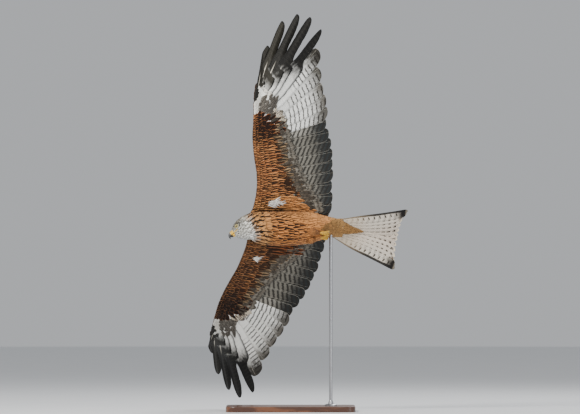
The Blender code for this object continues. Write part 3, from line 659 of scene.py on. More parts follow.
def flight_look(kind, k, side=1):
    if kind == "P" and k >= 6:
        tb = {10: 0.02, 9: 0.20, 8: 0.285, 7: 0.375, 6: 0.50}[k]
        # P10 and P9 are lighter than the fingers inside them: painted sheen on their vanes
        black = {10: srgb(38, 36, 31), 9: srgb(44, 42, 36), 8: srgb(30, 29, 26), 7: srgb(23, 22, 20), 6: srgb(21, 20, 18)}[k]
        # the right wing's finger tips are darker: painted shade of the far wing
        black = black * (1.0 if side > 0 else 0.55)
        under = dict(cA=WHITE, cB=black, cS=srgb(92, 88, 78), cE=srgb(10, 10, 10), p1=(tb, 0.11, 0.0), p2=(0.0165, 0.06, 0.26), p3=(-1.2, 0.0, 0.0), p4=(0.90, 0.0, 0.30), p5=(0.10, 0.03, 0.30))
        upper = dict(cA=srgb(84, 66, 50), cB=srgb(26, 23, 21), cS=srgb(44, 36, 30), cE=srgb(36, 30, 26), p1=(0.45, 0.10, 0.0), p2=(0.0165, 0.25, 0.05), p3=(-1.2, 1.2, 0.5), p4=(0.2, 0.0, 2.0), p5=(0.05, 0.03, 0.30))
    elif kind == "P":
        tb = {5: 0.77, 4: 0.82, 3: 0.83, 2: 0.82, 1: 0.79}[k]
        cb = {5: srgb(52, 49, 44), 4: srgb(88, 85, 78), 3: srgb(98, 94, 87), 2: srgb(98, 94, 87), 1: srgb(88, 85, 79)}[k]
        under = dict(cA=WHITE, cB=cb, cS=srgb(26, 21, 18), cE=srgb(210, 205, 192), p1=(tb, 0.15, 0.0), p2=(0.0172, 0.88, 0.05), p3=(-1.2, -0.24, 0.9), p4=(0.70, 0.0, 2.0), p5=(0.36, {5: 0.42, 4: 0.34, 3: 0.26, 2: 0.20, 1: 0.15}[k], 0.30))
        upper = dict(cA=srgb(122, 98, 76), cB=srgb(54, 42, 33), cS=srgb(50, 40, 32), cE=srgb(150, 130, 106), p1=(0.70, 0.15, 0.0), p2=(0.0172, 0.60, 0.05), p3=(-1.2, 1.2, 0.5), p4=(0.35, 0.0, 2.0), p5=(0.05, 0.03, 0.30))
    else:
        ca = srgb(124, 120, 110) if k > 1 else srgb(158, 154, 144)
        under = dict(cA=ca, cB=srgb(42, 45, 45), cS=srgb(40, 38, 35), cE=srgb(188, 183, 170), p1=(0.74, 0.16, 0.0), p2=(0.0178, 0.88, 0.055), p3=(-1.2, 1.2, 0.7), p4=(0.90, 0.0, 2.0), p5=(-0.10, 0.03, 0.55))
        upper = dict(cA=srgb(90, 68, 50), cB=srgb(46, 36, 29), cS=srgb(44, 34, 27), cE=srgb(140, 112, 82), p1=(0.55, 0.20, 0.0), p2=(0.0178, 0.60, 0.05), p3=(-1.2, 1.2, 0.45), p4=(0.45, 0.0, 2.0), p5=(0.05, 0.03, 0.30))
    return under, upper


def flight_coats():
    out = []
    for side, word in ((1, "left"), (-1, "right")):
        coat = Coat("flight_feathers_" + word, M_FLIGHT)
        order = [("P", k) for k in range(10, 0, -1)] + [("S", k) for k in range(1, 13)]
        for i, (kind, k) in enumerate(order):
            x, y, z, ac, al, L = flight_feather(kind, k)
            P = wing_pt(x, y, z, side)[None]
            rnd = float(RNG.random())
            vn = np.stack([FT.u, FT.v, np.full(FT.n, rnd)], -1)[None]
            vm = np.stack([ac, al, FT.side], -1)[None]
            under, upper = flight_look(kind, k, side)
            a = {q: two_faced(FT, under[q], upper[q])[None] for q in under}
            coat.add(P, FT, attrs(1, vn, vm, **a), np.array([[0.012 + 0.0440 * i, 0.5]]), 1.0, flip=(side > 0), uvshape=(0.0185, 0.96))
        out.append(coat.make())
    return out


def flight_paint():
    """White shafts at the feet of the fingers, fading outward."""
    t = M_FLIGHT.node_tree
    g = Graph.__new__(Graph)
    g.mat, g.t, g.bsdf = M_FLIGHT, t, t.nodes["Principled BSDF"]
    base = g.bsdf.inputs["Base Color"].links[0].from_socket
    vn, _ = g.attr("vn")
    u, v, rnd = g.xyz(vn)
    vm, _ = g.attr("vm")
    ac, al, face = g.xyz(vm)
    p4, _ = g.attr("p4")
    ek, sk, sv = g.xyz(p4)
    finger = g.m("MULTIPLY", g.step(1.0, 0.9, sv), g.step(0.2, -0.2, face))
    shaft = g.m("MULTIPLY", g.step(0.0012, 0.0005, g.m("ABSOLUTE", ac)), g.m("MULTIPLY", g.step(0.10, 0.20, v), g.step(0.50, 0.36, v)))
    col = g.mix(g.m("MULTIPLY", g.m("MULTIPLY", shaft, finger), 0.9), base, srgb(206, 200, 186))
    g.put(g.bsdf.inputs["Base Color"], col)


# ================================================================ coverts of the wings
DIR_DEG = pchip([0.03, 0.20, 0.33, 0.352, 0.376, 0.402, 0.427, 0.453, 0.50], [2, 8, 14, 21, 37, 55, 65, 71, 75])
RUF_EDGE = pchip([0.05, 0.09, 0.12, 0.142, 0.165, 0.20, 0.245, 0.283, 0.32, 0.36, 0.395, 0.43],
                 [-0.095, -0.075, -0.050, -0.036, -0.018, 0.006, 0.032, 0.050, 0.066, 0.082, 0.105, 0.150])
CT = Template(8, 4)
CTL = Template(10, 6)


def shape_round(v, root=0.35, vt=0.55, p=2.0, end=0.18):
    return (root + (1 - root) * smooth(0, 0.40, v)) * np.maximum(np.sqrt(np.clip(1 - np.clip((v - vt) / (1 - vt), 0, 1) ** p, 0, 1)), end)


def shape_point(v):
    return shape_round(v, 0.35, 0.30, 1.35, 0.05)


def wing_coverts(coat, T, roots, L, W, side, face, look, h0=-0.0022, h1=0.0004, turn=0.0, arch=0.10, thick=0.0004, uvs=0.0032, droop=0.5, shape=shape_round, clear=0.0):
    """Feathers rooted at plan positions; face -1 is the underside, +1 the upper side."""
    roots = np.asarray(roots, float)
    N = len(roots)
    L = np.broadcast_to(np.asarray(L, float), (N,))[:, None]
    W = np.broadcast_to(np.asarray(W, float), (N,))[:, None]
    ang = np.radians(DIR_DEG(roots[:, 1]) + turn + RNG.normal(0, 3.0, N))[:, None]
    d = np.stack([-np.cos(ang), np.sin(ang)], -1)[:, 0]
    X = np.stack([d[:, 1], -d[:, 0]], -1) if face < 0 else np.stack([-d[:, 1], d[:, 0]], -1)
    v, u = T.v[None], T.u[None]
    al = v * L
    ac = u * W * 0.5 * shape(v)
    x = roots[:, :1] + d[:, :1] * al + X[:, :1] * ac
    y = roots[:, 1:] + d[:, 1:] * al + X[:, 1:] * ac
    flesh = flesh_down(x, y) if face < 0 else flesh_up(x, y)
    h0, h1 = (np.broadcast_to(np.asarray(q, float), (N,))[:, None] for q in (h0, h1))
    h = h0 + (h1 - h0) * v ** droop - arch * np.abs(ac) * np.abs(u) + 0.5 * T.side[None] * thick * (1 - 0.6 * np.abs(u))
    thin = 0.5 * T.side[None] * thick * (1 - 0.6 * np.abs(u))
    z = wing_mid(x, y) + face * (np.maximum(flesh + h - thin, 0.0005 + clear * smooth(0.28, 0.50, v)) + thin)
    rnd = RNG.random((N, 1))
    vn = np.stack(np.broadcast_arrays(u, v, rnd), -1)
    vm = np.stack(np.broadcast_arrays(ac, al, T.side[None]), -1)
    P = wing_pt(x, y, z, side)
    uvc = np.stack([0.03 + 0.94 * (roots[:, 1] - 0.02) / 0.56, 0.03 + 0.94 * (roots[:, 0] + 0.20) / 0.42], -1)
    coat.add(P, T, attrs(N, vn, vm, **{k: col3(c, N) for k, c in look(roots, rnd[:, 0]).items()}), uvc, uvs, flip=(side < 0))


def grid_roots(y0, y1, dy, d, jitter=0.25, shift=0.0):
    """Row of roots at distance d behind the leading edge."""
    n = max(2, int(round((y1 - y0) / dy)))
    y = y0 + (np.arange(n) + 0.5 + shift) * (y1 - y0) / n + RNG.uniform(-jitter, jitter, n) * dy
    x = LEAD_X(y) - d + RNG.uniform(-jitter, jitter, n) * dy * 0.5
    return np.stack([x, y], 1)


def lerp_c(a, b, t):
    t = np.asarray(t, float)[:, None]
    return np.asarray(a) * (1 - t) + np.asarray(b) * t


def rufous_look(W, side):
    """Rufous with a black centre; the black widens towards the wrist, the rear rows and the inner wing. On the right
    wing the colours are darker and the black wider, as painted shade.
    """
    def f(r, rnd):
        n = len(r)
        y = r[:, 1]
        d = LEAD_X(y) - r[:, 0]
        wrist = smooth(0.270, 0.345, y) * smooth(-0.004, 0.004, d)
        rear = smooth(0.050, 0.085, d) * smooth(0.085, 0.14, y)
        inner = smooth(0.112, 0.062, y)
        base = lerp_c(srgb(208, 142, 86), srgb(180, 112, 64), RNG.random(n))
        base = lerp_c(base, srgb(206, 146, 86), inner * 0.7)
        base = base * (0.78 + 0.50 * RNG.random(n))[:, None]
        edge = lerp_c(srgb(238, 184, 128), srgb(206, 124, 64), wrist)
        # on the right wing the black centres are wider: painted shade of the far wing
        share = (0.41 if side > 0 else 0.49) + 0.16 * rnd + 0.26 * wrist + 0.36 * rear * (0.5 + rnd)
        # right wing colours darker: painted shade of the far wing
        if side < 0:
            base, edge = base * 0.88, edge * 0.88
            share = share + 0.10 * smooth(0.10, 0.20, y)
        sw = 0.5 * W * np.clip(share, 0, 0.88) * 1.12
        one = np.ones(n)
        return dict(cA=base, cB=base * 1.12, cS=srgb(14, 10, 8) * one[:, None], cE=edge,
                    p1=np.stack([0.5 * one, 0.4 * one, sw], 1), p2=np.stack([0.01 * one, 0 * one, 0.20 * one], 1),
                    p3=np.stack([-1.2 * one, 1.2 * one, 0 * one], 1), p4=np.stack([0.60 * one, np.clip(0.95 + 0.05 * wrist, 0, 0.97), 0.05 * one], 1))
    return f


def look_const(cA, cB, cS, cE, p1, p2, p3, p4, vary=0.25):
    def f(r, rnd):
        n = len(r)
        k = (1 - vary / 2 + vary * RNG.random(n))[:, None]
        return dict(cA=col3(cA, n) * k, cB=col3(cB, n) * k, cS=col3(cS, n), cE=col3(cE, n), p1=col3(p1, n), p2=col3(p2, n), p3=col3(p3, n), p4=col3(p4, n))
    return f


def shape_lance(v):
    return shape_round(v, 0.40, 0.42, 1.7, 0.08)


def under_coverts(side, word):
    coat = Coat("under_coverts_" + word, M_COAT)
    # greater secondary coverts: grey, barred, pale-edged
    n = 22
    y = np.linspace(0.050, 0.376, n)
    roots = np.stack([RUF_EDGE(y) + 0.034, y], 1)
    wing_coverts(coat, CTL, roots, 0.086 * RNG.uniform(0.93, 1.05, n), 0.030, side, -1,
                 look_const(srgb(128, 121, 109), srgb(100, 94, 84), srgb(52, 48, 43), srgb(204, 198, 184), (0.75, 0.2, 0), (0.0165, 0.75, 0.09), (-1.2, 1.2, 0.6), (0.75, 0, 2.0)),
                 h0=-0.0050, h1=0.0014, uvs=0.012, clear=0.0017)
    n = 26
    y = np.linspace(0.060, 0.380, n)
    roots = np.stack([RUF_EDGE(y) + 0.038, y], 1)
    wing_coverts(coat, CTL, roots, 0.062 * RNG.uniform(0.82, 1.18, n), 0.021, side, -1,
                 look_const(srgb(112, 101, 86), srgb(78, 70, 60), srgb(38, 33, 28), srgb(214, 204, 186), (0.55, 0.3, 0.0026), (0.0150, 0.45, 0.14), (-1.2, 1.2, 0.2), (0.85, 0.85, 0.1), 0.4),
                 h0=-0.0046, h1=0.0022, uvs=0.010, turn=4.0, clear=0.0024)
    # greater primary coverts: white bases of the hand
    k = np.linspace(1, 10, 24)
    roots = np.array([flight_root("P", q) for q in k])
    pale = look_const(WHITE, srgb(232, 231, 224), srgb(120, 116, 110), srgb(240, 239, 232), (0.6, 0.3, 0), (0.012, 0.0, 0.06), (-1.2, 1.2, 0.2), (0.2, 0, 0), 0.06)
    wing_coverts(coat, CTL, roots, np.interp(k, [1, 6, 10], [0.074, 0.070, 0.040]), 0.019, side, -1, pale, h0=-0.0030, h1=0.0008, uvs=0.010)
    # the ragged grey patch over them
    patch = look_const(srgb(122, 117, 107), srgb(94, 89, 82), srgb(52, 47, 42), srgb(160, 154, 143), (0.55, 0.3, 0.0016), (0.010, 0.25, 0.10), (-1.2, 1.2, 0.0), (0.30, 0.75, 0.30), 0.34)
    for (xa, ya), (xb, yb), n, L0, L1, hh in (((0.148, 0.440), (0.100, 0.438), 7, 0.044, 0.062, 0.0016), ((0.154, 0.428), (0.098, 0.424), 8, 0.038, 0.050, 0.0021), ((0.156, 0.416), (0.106, 0.408), 8, 0.034, 0.040, 0.0026)):
        t = (np.arange(n) + 0.5) / n
        r = np.stack([xa + (xb - xa) * t, ya + (yb - ya) * t], 1) + RNG.normal(0, 0.0012, (n, 2))
        wing_coverts(coat, CTL, r, RNG.uniform(L0, L1, n) * 0.62, 0.0200, side, -1, patch, h0=-0.0028, h1=hh - 0.0004, uvs=0.008)
        wing_coverts(coat, CTL, r[::2], RNG.uniform(L0, L1, len(r[::2])) * 1.06, 0.0165, side, -1, patch, h0=-0.0028, h1=hh, uvs=0.008, shape=shape_point)
    # buff and white feathers where the black ones end, behind the wrist
    soft = look_const(srgb(196, 178, 150), srgb(206, 194, 172), srgb(96, 82, 66), srgb(228, 218, 198), (0.5, 0.3, 0.0012), (0.01, 0, 0.20), (-1, 1, 0), (0.6, 0.5, 0.2), 0.30)
    n = 14
    t = (np.arange(n) + 0.5) / n
    r = np.stack([0.122 - 0.040 * t, 0.366 + 0.030 * (1 - t)], 1) + RNG.normal(0, 0.0020, (n, 2))
    wing_coverts(coat, CT, r, RNG.uniform(0.040, 0.054, n), 0.0165, side, -1, soft, h0=-0.0030, h1=0.0018, uvs=0.008)
    mixed = look_const(srgb(206, 176, 142), srgb(220, 208, 188), srgb(52, 40, 31), srgb(238, 230, 214), (0.5, 0.3, 0.0026), (0.01, 0, 0.20), (-1, 1, 0), (0.8, 0.85, 0.1), 0.35)
    n = 9
    t = (np.arange(n) + 0.5) / n
    r = np.stack([0.114 - 0.032 * t, 0.376 + 0.022 * (1 - t)], 1)
    wing_coverts(coat, CT, r, RNG.uniform(0.036, 0.050, n), 0.0125, side, -1, mixed, h0=-0.0028, h1=0.0022, uvs=0.008, shape=shape_lance)
    # rows of rufous lesser and median coverts, long and narrow, with black centres
    rows = [(0.104, 0.066, 0.0156), (0.081, 0.064, 0.0152), (0.059, 0.058, 0.0146), (0.040, 0.049, 0.0136), (0.0250, 0.039, 0.0122), (0.0140, 0.029, 0.0108), (0.0055, 0.0200, 0.0094), (0.0000, 0.0135, 0.0080)]
    for j, (d, L, W) in enumerate(rows):
        r = grid_roots(0.038, 0.425, W * 0.72, d, 0.18, shift=0.5 * (j % 2))
        tipx = r[:, 0] - L * 0.85
        keep = (tipx > RUF_EDGE(r[:, 1]) - 0.008) & (r[:, 1] < 0.400 + 0.008 * RNG.random(len(r)) - 0.12 * np.maximum(d - 0.03, 0)) & ((d < 0.018) | (r[:, 1] < 0.335))
        r = r[keep]
        if len(r):
            wing_coverts(coat, CTL if d > 0.03 else CT, r, L * RNG.uniform(0.9, 1.12, len(r)), W, side, -1, rufous_look(W, side), h0=-0.0026, h1=0.0009 + 0.0007 * RNG.random(len(r)), shape=shape_lance if d > 0.04 else shape_round)
    # the strip that follows the slanting edge of the rufous area
    for step, L, W in ((0.040, 0.052, 0.0160), (0.062, 0.052, 0.0156), (0.084, 0.050, 0.0152), (0.106, 0.048, 0.0148), (0.128, 0.046, 0.0144)):
        n = int(0.340 / (W * 0.70))
        y = 0.040 + (np.arange(n) + RNG.random(n) * 0.5) * 0.350 / n
        r = np.stack([RUF_EDGE(y) + step + RNG.uniform(-0.004, 0.004, n), y], 1)
        r = r[(LEAD_X(r[:, 1]) - r[:, 0] > 0.092)]
        if len(r):
            wing_coverts(coat, CTL, r, L * RNG.uniform(0.85, 1.20, len(r)), W, side, -1, rufous_look(W, side), h0=-0.0028, h1=0.0011 + 0.0009 * RNG.random(len(r)), shape=shape_lance)
    # dark-centred, pale-edged feathers where the rufous gives way to grey
    edge_look = look_const(srgb(150, 118, 84), srgb(168, 138, 102), srgb(28, 23, 19), srgb(214, 190, 154), (0.5, 0.3, 0.0042), (0.01, 0, 0.16), (-1, 1, 0), (0.8, 0.92, 0.0), 0.45)
    n = 24
    y = np.linspace(0.105, 0.350, n) + RNG.normal(0, 0.003, n)
    r = np.stack([RUF_EDGE(y) + RNG.uniform(0.020, 0.044, n), y], 1)
    wing_coverts(coat, CTL, r, RNG.uniform(0.038, 0.058, n), RNG.uniform(0.0120, 0.0165, n), side, -1, edge_look, h0=-0.0026, h1=0.0020 + 0.0008 * RNG.random(n), turn=RNG.normal(0, 5.0, n), uvs=0.006)
    # broad black feathers with rufous edges over the wrist
    def wrist_look(r, rnd):
        n = len(r)
        one = np.ones(n)
        # on the right wing these are darker: painted shade of the far wing
        base = lerp_c(srgb(168, 96, 48), srgb(190, 116, 62), rnd) * (0.55 if side < 0 else 1.0)
        return dict(cA=base, cB=base, cS=srgb(15, 12, 10) * one[:, None], cE=base * 1.25,
                    p1=np.stack([0.5 * one, 0.4 * one, 0.0092 * (0.88 + 0.12 * rnd)], 1), p2=np.stack([0.01 * one, 0 * one, 0.13 * one], 1),
                    p3=np.stack([-1.2 * one, 1.2 * one, 0 * one], 1), p4=np.stack([0.75 * one, 0.97 * one, 0.0 * one], 1))
    for d, L, W, ya, yb in ((0.082, 0.050, 0.0190, 0.325, 0.366), (0.066, 0.050, 0.0190, 0.322, 0.378), (0.050, 0.048, 0.0188, 0.318, 0.388), (0.035, 0.043, 0.0180, 0.322, 0.394), (0.021, 0.035, 0.0165, 0.330, 0.398), (0.010, 0.025, 0.0140, 0.345, 0.400)):
        r = grid_roots(ya, yb, W * 0.62, d, 0.15)
        wing_coverts(coat, CTL, r, L * RNG.uniform(0.92, 1.10, len(r)), W, side, -1, wrist_look, h0=-0.0026, h1=0.0014 + 0.0006 * RNG.random(len(r)), turn=RNG.normal(0, 3.0, len(r)), uvs=0.006)
    # leading hand: short white and grey feathers over the bases of the outer primaries
    lead = look_const(srgb(236, 233, 224), srgb(222, 218, 208), srgb(70, 62, 52), srgb(240, 236, 228), (0.5, 0.3, 0.0012), (0.01, 0, 0.15), (-1, 1, 0), (0.3, 0.35, 0.4), 0.2)
    lead_black = look_const(srgb(44, 41, 37), srgb(36, 34, 31), srgb(16, 14, 12), srgb(70, 66, 58), (0.5, 0.3, 0.0012), (0.01, 0, 0.15), (-1, 1, 0), (0.3, 0.35, 0.4), 0.2)
    for d, yb in ((0.045, 0.500), (0.034, 0.490), (0.024, 0.476), (0.015, 0.462), (0.008, 0.450), (0.003, 0.438)):
        r = grid_roots(0.408, 0.488 - d * 0.35, 0.0085, d, 0.2)
        out = r[:, 1] > yb + RNG.normal(0, 0.001, len(r))
        for q, look in ((r[~out], lead), (r[out], lead_black)):
            if len(q):
                wing_coverts(coat, CT, q, 0.022 + 0.2 * d, 0.012, side, -1, look, h0=-0.0022, h1=0.0006)
    # long feathers of the armpit, dark along the shaft, lying back along the body
    if side > 0:
        arm = look_const(srgb(216, 154, 96), srgb(202, 134, 76), srgb(26, 17, 12), srgb(236, 190, 134), (0.5, 0.4, 0.0019), (0.01, 0, 0.18), (-1, 1, 0), (0.5, 0.92, 0.22), 0.20)
        at = ((0.050, 0.020), (0.061, 0.026), (0.072, 0.034), (0.083, 0.044), (0.094, 0.054))
    else:
        # the right wing's armpit, behind the body, is darker with wider black centres: painted shade
        arm = look_const(srgb(168, 98, 52), srgb(172, 100, 52), srgb(14, 10, 8), srgb(196, 124, 70), (0.5, 0.4, 0.0048), (0.01, 0, 0.18), (-1, 1, 0), (0.5, 0.96, 0.05), 0.25)
        at = ((0.066, 0.060), (0.080, 0.060), (0.094, 0.054), (0.108, 0.046), (0.122, 0.036))
    for yy, xx in at:
        out = (yy - 0.050) / 0.044 if side > 0 else 0.0
        for step in (0.0, 0.030 - 0.008 * out, 0.058 - 0.022 * out):
            m = 2
            r = np.stack([xx - step + RNG.normal(0, 0.005, m), yy + 0.0055 * (np.arange(m) - 0.5) + RNG.normal(0, 0.001, m)], 1)
            wing_coverts(coat, CTL, r, RNG.uniform(0.062, 0.084, m) * (1 - 0.25 * out), 0.0150, side, -1, arm, h0=-0.0022, h1=0.0026 + 0.0012 * RNG.random(m), turn=(-6.0 if side > 0 else -2.0) + RNG.normal(0, 2.0, m), uvs=0.008, shape=shape_lance)
    # white down at the armpit, ragged
    down = look_const(srgb(246, 243, 235), srgb(250, 248, 242), srgb(200, 170, 138), WHITE, (0.5, 0.3, 0.0005), (0.01, 0, 0.3), (-1, 1, 0), (0.3, 0.3, 0), 0.06)
    c = (0.048, 0.078) if side > 0 else (0.074, 0.149)
    n = 64 if side > 0 else 26
    sx, sy = (0.0120, 0.0054) if side > 0 else (0.0062, 0.0030)
    r = np.stack([c[0] + RNG.normal(0, 1, n).clip(-2.4, 1.9) * sx, c[1] + RNG.normal(0, 1, n).clip(-1.9, 1.9) * sy], 1)
    wing_coverts(coat, CT, r, RNG.uniform(0.012, 0.028, n), RNG.uniform(0.0022, 0.0048, n), side, -1, down, h0=0.0005, h1=0.0046, shape=shape_point, turn=RNG.normal(0, 20.0, n))
    return coat.make()


def upper_coverts(side, word):
    coat = Coat("upper_coverts_" + word, M_COAT)
    up = 1
    # greater coverts: dark with pale tips
    n = 24
    y = np.linspace(0.044, 0.392, n)
    roots = np.stack([np.interp(y, [0.05, 0.20, 0.33, 0.37], [0.040, 0.085, 0.118, 0.122]), y], 1)
    wing_coverts(coat, CTL, roots, 0.092, 0.032, side, up,
                 look_const(srgb(84, 62, 46), srgb(62, 46, 35), srgb(38, 30, 25), srgb(176, 140, 98), (0.5, 0.3, 0.0010), (0.0165, 0.35, 0.10), (-1.2, 1.2, 0.4), (0.75, 0.6, 0.1)), h0=-0.0050, h1=0.0012, uvs=0.012)
    # primary coverts: blackish
    k = np.linspace(1, 10, 18)
    roots = np.array([flight_root("P", q) for q in k])
    wing_coverts(coat, CTL, roots, np.interp(k, [1, 10], [0.086, 0.062]), 0.021, side, up,
                 look_const(srgb(48, 40, 34), srgb(36, 31, 28), BLACK, srgb(110, 86, 60), (0.5, 0.3, 0), (0.0165, 0.2, 0.07), (-1.2, 1.2, 0.3), (0.5, 0, 0)), h0=-0.0030, h1=0.0012, uvs=0.010)
    k = np.linspace(1.5, 8.5, 11)
    roots = np.array([flight_root("P", q) for q in k]) + np.array([0.004, -0.006])
    wing_coverts(coat, CTL, roots, 0.050, 0.019, side, up,
                 look_const(srgb(60, 46, 36), srgb(46, 36, 30), BLACK, srgb(150, 104, 62), (0.5, 0.3, 0.002), (0.0165, 0.0, 0.10), (-1.2, 1.2, 0.2), (0.7, 0.5, 0.1)), h0=-0.0032, h1=0.0022, uvs=0.008)

    def median(r, rnd):
        n = len(r)
        one = np.ones(n)
        cA = lerp_c(srgb(172, 132, 88), srgb(148, 104, 64), rnd)
        return dict(cA=cA, cB=cA * 1.1, cS=srgb(58, 40, 28) * one[:, None], cE=srgb(206, 172, 124) * one[:, None],
                    p1=np.stack([0.5 * one, 0.4 * one, 0.0024 * one], 1), p2=np.stack([0.01 * one, 0 * one, 0.30 * one], 1),
                    p3=np.stack([-1.2 * one, 1.2 * one, 0 * one], 1), p4=np.stack([0.75 * one, 0.75 * one, 0.1 * one], 1))

    def lesser(r, rnd):
        n = len(r)
        one = np.ones(n)
        d = LEAD_X(r[:, 1]) - r[:, 0]
        k = smooth(0.085, 0.045, d)
        cA = lerp_c(srgb(134, 94, 58), srgb(112, 68, 40), k) * (0.85 + 0.3 * rnd[:, None])
        return dict(cA=cA, cB=cA, cS=srgb(40, 29, 22) * one[:, None], cE=lerp_c(srgb(186, 144, 98), srgb(160, 100, 58), k),
                    p1=np.stack([0.5 * one, 0.4 * one, 0.0022 + 0.0012 * rnd], 1), p2=np.stack([0.01 * one, 0 * one, 0.34 * one], 1),
                    p3=np.stack([-1.2 * one, 1.2 * one, 0 * one], 1), p4=np.stack([0.8 * one, 0.85 * one, 0.1 * one], 1))
    lead_d = lambda y: LEAD_X(y) - np.interp(y, [0.05, 0.20, 0.33, 0.37], [0.040, 0.085, 0.118, 0.122])
    for off, L, W, f in ((0.002, 0.052, 0.023, median), (-0.012, 0.046, 0.021, median), (-0.024, 0.042, 0.019, median)):
        n = int(0.36 / (W * 0.66))
        y = 0.045 + (np.arange(n) + RNG.random(n) * 0.5) * 0.356 / n
        r = np.stack([LEAD_X(y) - lead_d(y) - off + 0.004, y], 1)
        wing_coverts(coat, CT, r, L * RNG.uniform(0.92, 1.1, n), W, side, up, f, h0=-0.0030, h1=0.0016)
    for j, (d, L, W) in enumerate(((0.094, 0.044, 0.0165), (0.080, 0.042, 0.0160), (0.066, 0.040, 0.0155), (0.053, 0.036, 0.0145), (0.041, 0.032, 0.0135), (0.030, 0.028, 0.0125), (0.021, 0.023, 0.0115), (0.013, 0.018, 0.0102), (0.006, 0.014, 0.0090), (0.001, 0.011, 0.0080))):
        r = grid_roots(0.036, 0.440 if d < 0.03 else 0.400, W * 0.74, d, 0.22, shift=0.5 * (j % 2))
        r = r[(d < lead_d(r[:, 1]) + 0.004)]
        if len(r):
            wing_coverts(coat, CT, r, L * RNG.uniform(0.9, 1.12, len(r)), W, side, up, lesser, h0=-0.0024, h1=0.0010)
    dark = look_const(srgb(56, 42, 32), srgb(46, 36, 29), BLACK, srgb(120, 84, 56), (0.5, 0.3, 0.0014), (0.01, 0, 0.25), (-1, 1, 0), (0.5, 0.5, 0.2), 0.3)
    for d in (0.040, 0.030, 0.021, 0.013, 0.007, 0.002):
        r = grid_roots(0.400, 0.496 - d * 0.35, 0.0090, d, 0.2)
        wing_coverts(coat, CT, r, 0.022 + 0.2 * d, 0.013, side, up, dark, h0=-0.0022, h1=0.0006)
    for d in (0.100, 0.084, 0.069, 0.055, 0.042, 0.031):
        r = grid_roots(0.386, 0.436 - 0.10 * max(d - 0.05, 0), 0.0105, d, 0.2)
        wing_coverts(coat, CTL, r, 0.040, 0.0165, side, up, dark, h0=-0.0024, h1=0.0012, uvs=0.006)
    # shoulder feathers over the root of the wing
    sca = look_const(srgb(92, 62, 42), srgb(78, 54, 38), srgb(38, 28, 22), srgb(164, 110, 66), (0.5, 0.3, 0.0026), (0.01, 0, 0.25), (-1, 1, 0), (0.75, 0.6, 0.1), 0.25)
    for x0, L in ((-0.070, 0.064), (-0.045, 0.062), (-0.022, 0.058), (0.000, 0.054), (0.020, 0.050), (0.040, 0.046), (0.058, 0.042), (0.076, 0.036), (0.092, 0.030)):
        y = 0.019 + 0.0105 * np.arange(8) + RNG.normal(0, 0.0015, 8)
        r = np.stack([x0 + RNG.normal(0, 0.003, 8), y], 1)
        wing_coverts(coat, CTL, r, L, 0.0205, side, up, sca, h0=-0.0024, h1=0.0034, turn=-5.0, uvs=0.008)
    return coat.make()


# ================================================================ feathers laid on the body, legs and tail
def coat_on(coat, T, ev, s, th, L, W, look, sign=-1.0, xs=1.0, turn=0.0, h0=-0.0022, h1=0.0008, arch=0.10, thick=0.0004,
            droop=0.5, uvc=None, uvs=0.0032, shape=shape_round, keep=None, step=0.001):
    """Feathers rooted at (s, th) of the surface ev, lying along it against the direction of s."""
    s, th = np.asarray(s, float), np.asarray(th, float)
    gs = np.linalg.norm(ev(s + step, th, 0.0) - ev(s - step, th, 0.0), axis=1) / (2 * step)
    gt = np.linalg.norm(ev(s, th + 1.0, 0.0) - ev(s, th - 1.0, 0.0), axis=1) / 2.0
    N = len(s)
    full = lambda q: np.broadcast_to(np.asarray(q, float), (N,))[:, None]
    L, W, ph = full(L), full(W), np.radians(full(turn))
    v, u = T.v[None], T.u[None]
    al, ac = v * L, u * W * 0.5 * shape(v)
    ss = s[:, None] + sign * (al * np.cos(ph) - ac * np.sin(ph)) / gs[:, None]
    tt = th[:, None] + xs * (al * np.sin(ph) + ac * np.cos(ph)) / gt[:, None]
    h = full(h0) + (full(h1) - full(h0)) * v ** droop - arch * np.abs(ac) * np.abs(u) + 0.5 * T.side[None] * thick * (1 - 0.6 * np.abs(u))
    P = ev(ss, tt, h)
    rnd = RNG.random((N, 1))
    mask = np.ones(N, bool) if keep is None else keep(P)
    vn = np.stack(np.broadcast_arrays(u, v, rnd), -1)
    vm = np.stack(np.broadcast_arrays(ac, al, T.side[None]), -1)
    cols = {k: col3(c, N)[mask] for k, c in look(s, th, rnd[:, 0]).items()}
    if mask.any():
        coat.add(P[mask], T, attrs(N, vn[mask], vm[mask], **cols), uvc[mask], uvs, flip=False)


def rows_on(ev, s0, s1, ds, dt, th0, th1, jitter=0.28, step=0.001, sign=-1.0):
    """Staggered rows of roots over part of a surface; ds and dt are spacings in metres."""
    out_s, out_t = [], []
    s, j = s0, 0
    mid = 0.5 * (th0 + th1)
    while (s - s1) * (s0 - s1) > 0:
        ths = np.linspace(th0, th1, 73)
        P = ev(np.full(73, s), ths, 0.0)
        arc = np.concatenate([[0], np.cumsum(np.linalg.norm(np.diff(P, axis=0), axis=1))])
        d_t = dt(s) if callable(dt) else dt
        d_s = ds(s) if callable(ds) else ds
        n = max(3, int(arc[-1] / d_t))
        a = (np.arange(n) + 0.25 + 0.5 * (j % 2) + RNG.uniform(-jitter, jitter, n)) * arc[-1] / n
        t = np.interp(a, arc, ths)
        g = np.linalg.norm(ev(np.full(n, s) + step, t, 0.0) - ev(np.full(n, s) - step, t, 0.0), axis=1) / (2 * step)
        out_s.append(s + RNG.uniform(-jitter, jitter, n) * d_s / np.maximum(g, 0.5))
        out_t.append(t)
        s += math.copysign(1, s1 - s0) * d_s / max(float(np.median(g)), 0.5)
        j += 1
    return np.concatenate(out_s), np.concatenate(out_t)


# ================================================================ tail feathers
TT = Template(0, 0, full=True, vs=np.concatenate([[0], np.linspace(0.04, 0.93, 24), [0.95, 0.965, 0.978, 0.99, 1.0]]),
              us=[-1, -0.8, -0.55, -0.3, -0.08, 0, 0.08, 0.3, 0.55, 0.8, 1])
M_TAIL = feather_material("tail_vanes", rough=0.55, sheen=0.03, barb=0.0010)


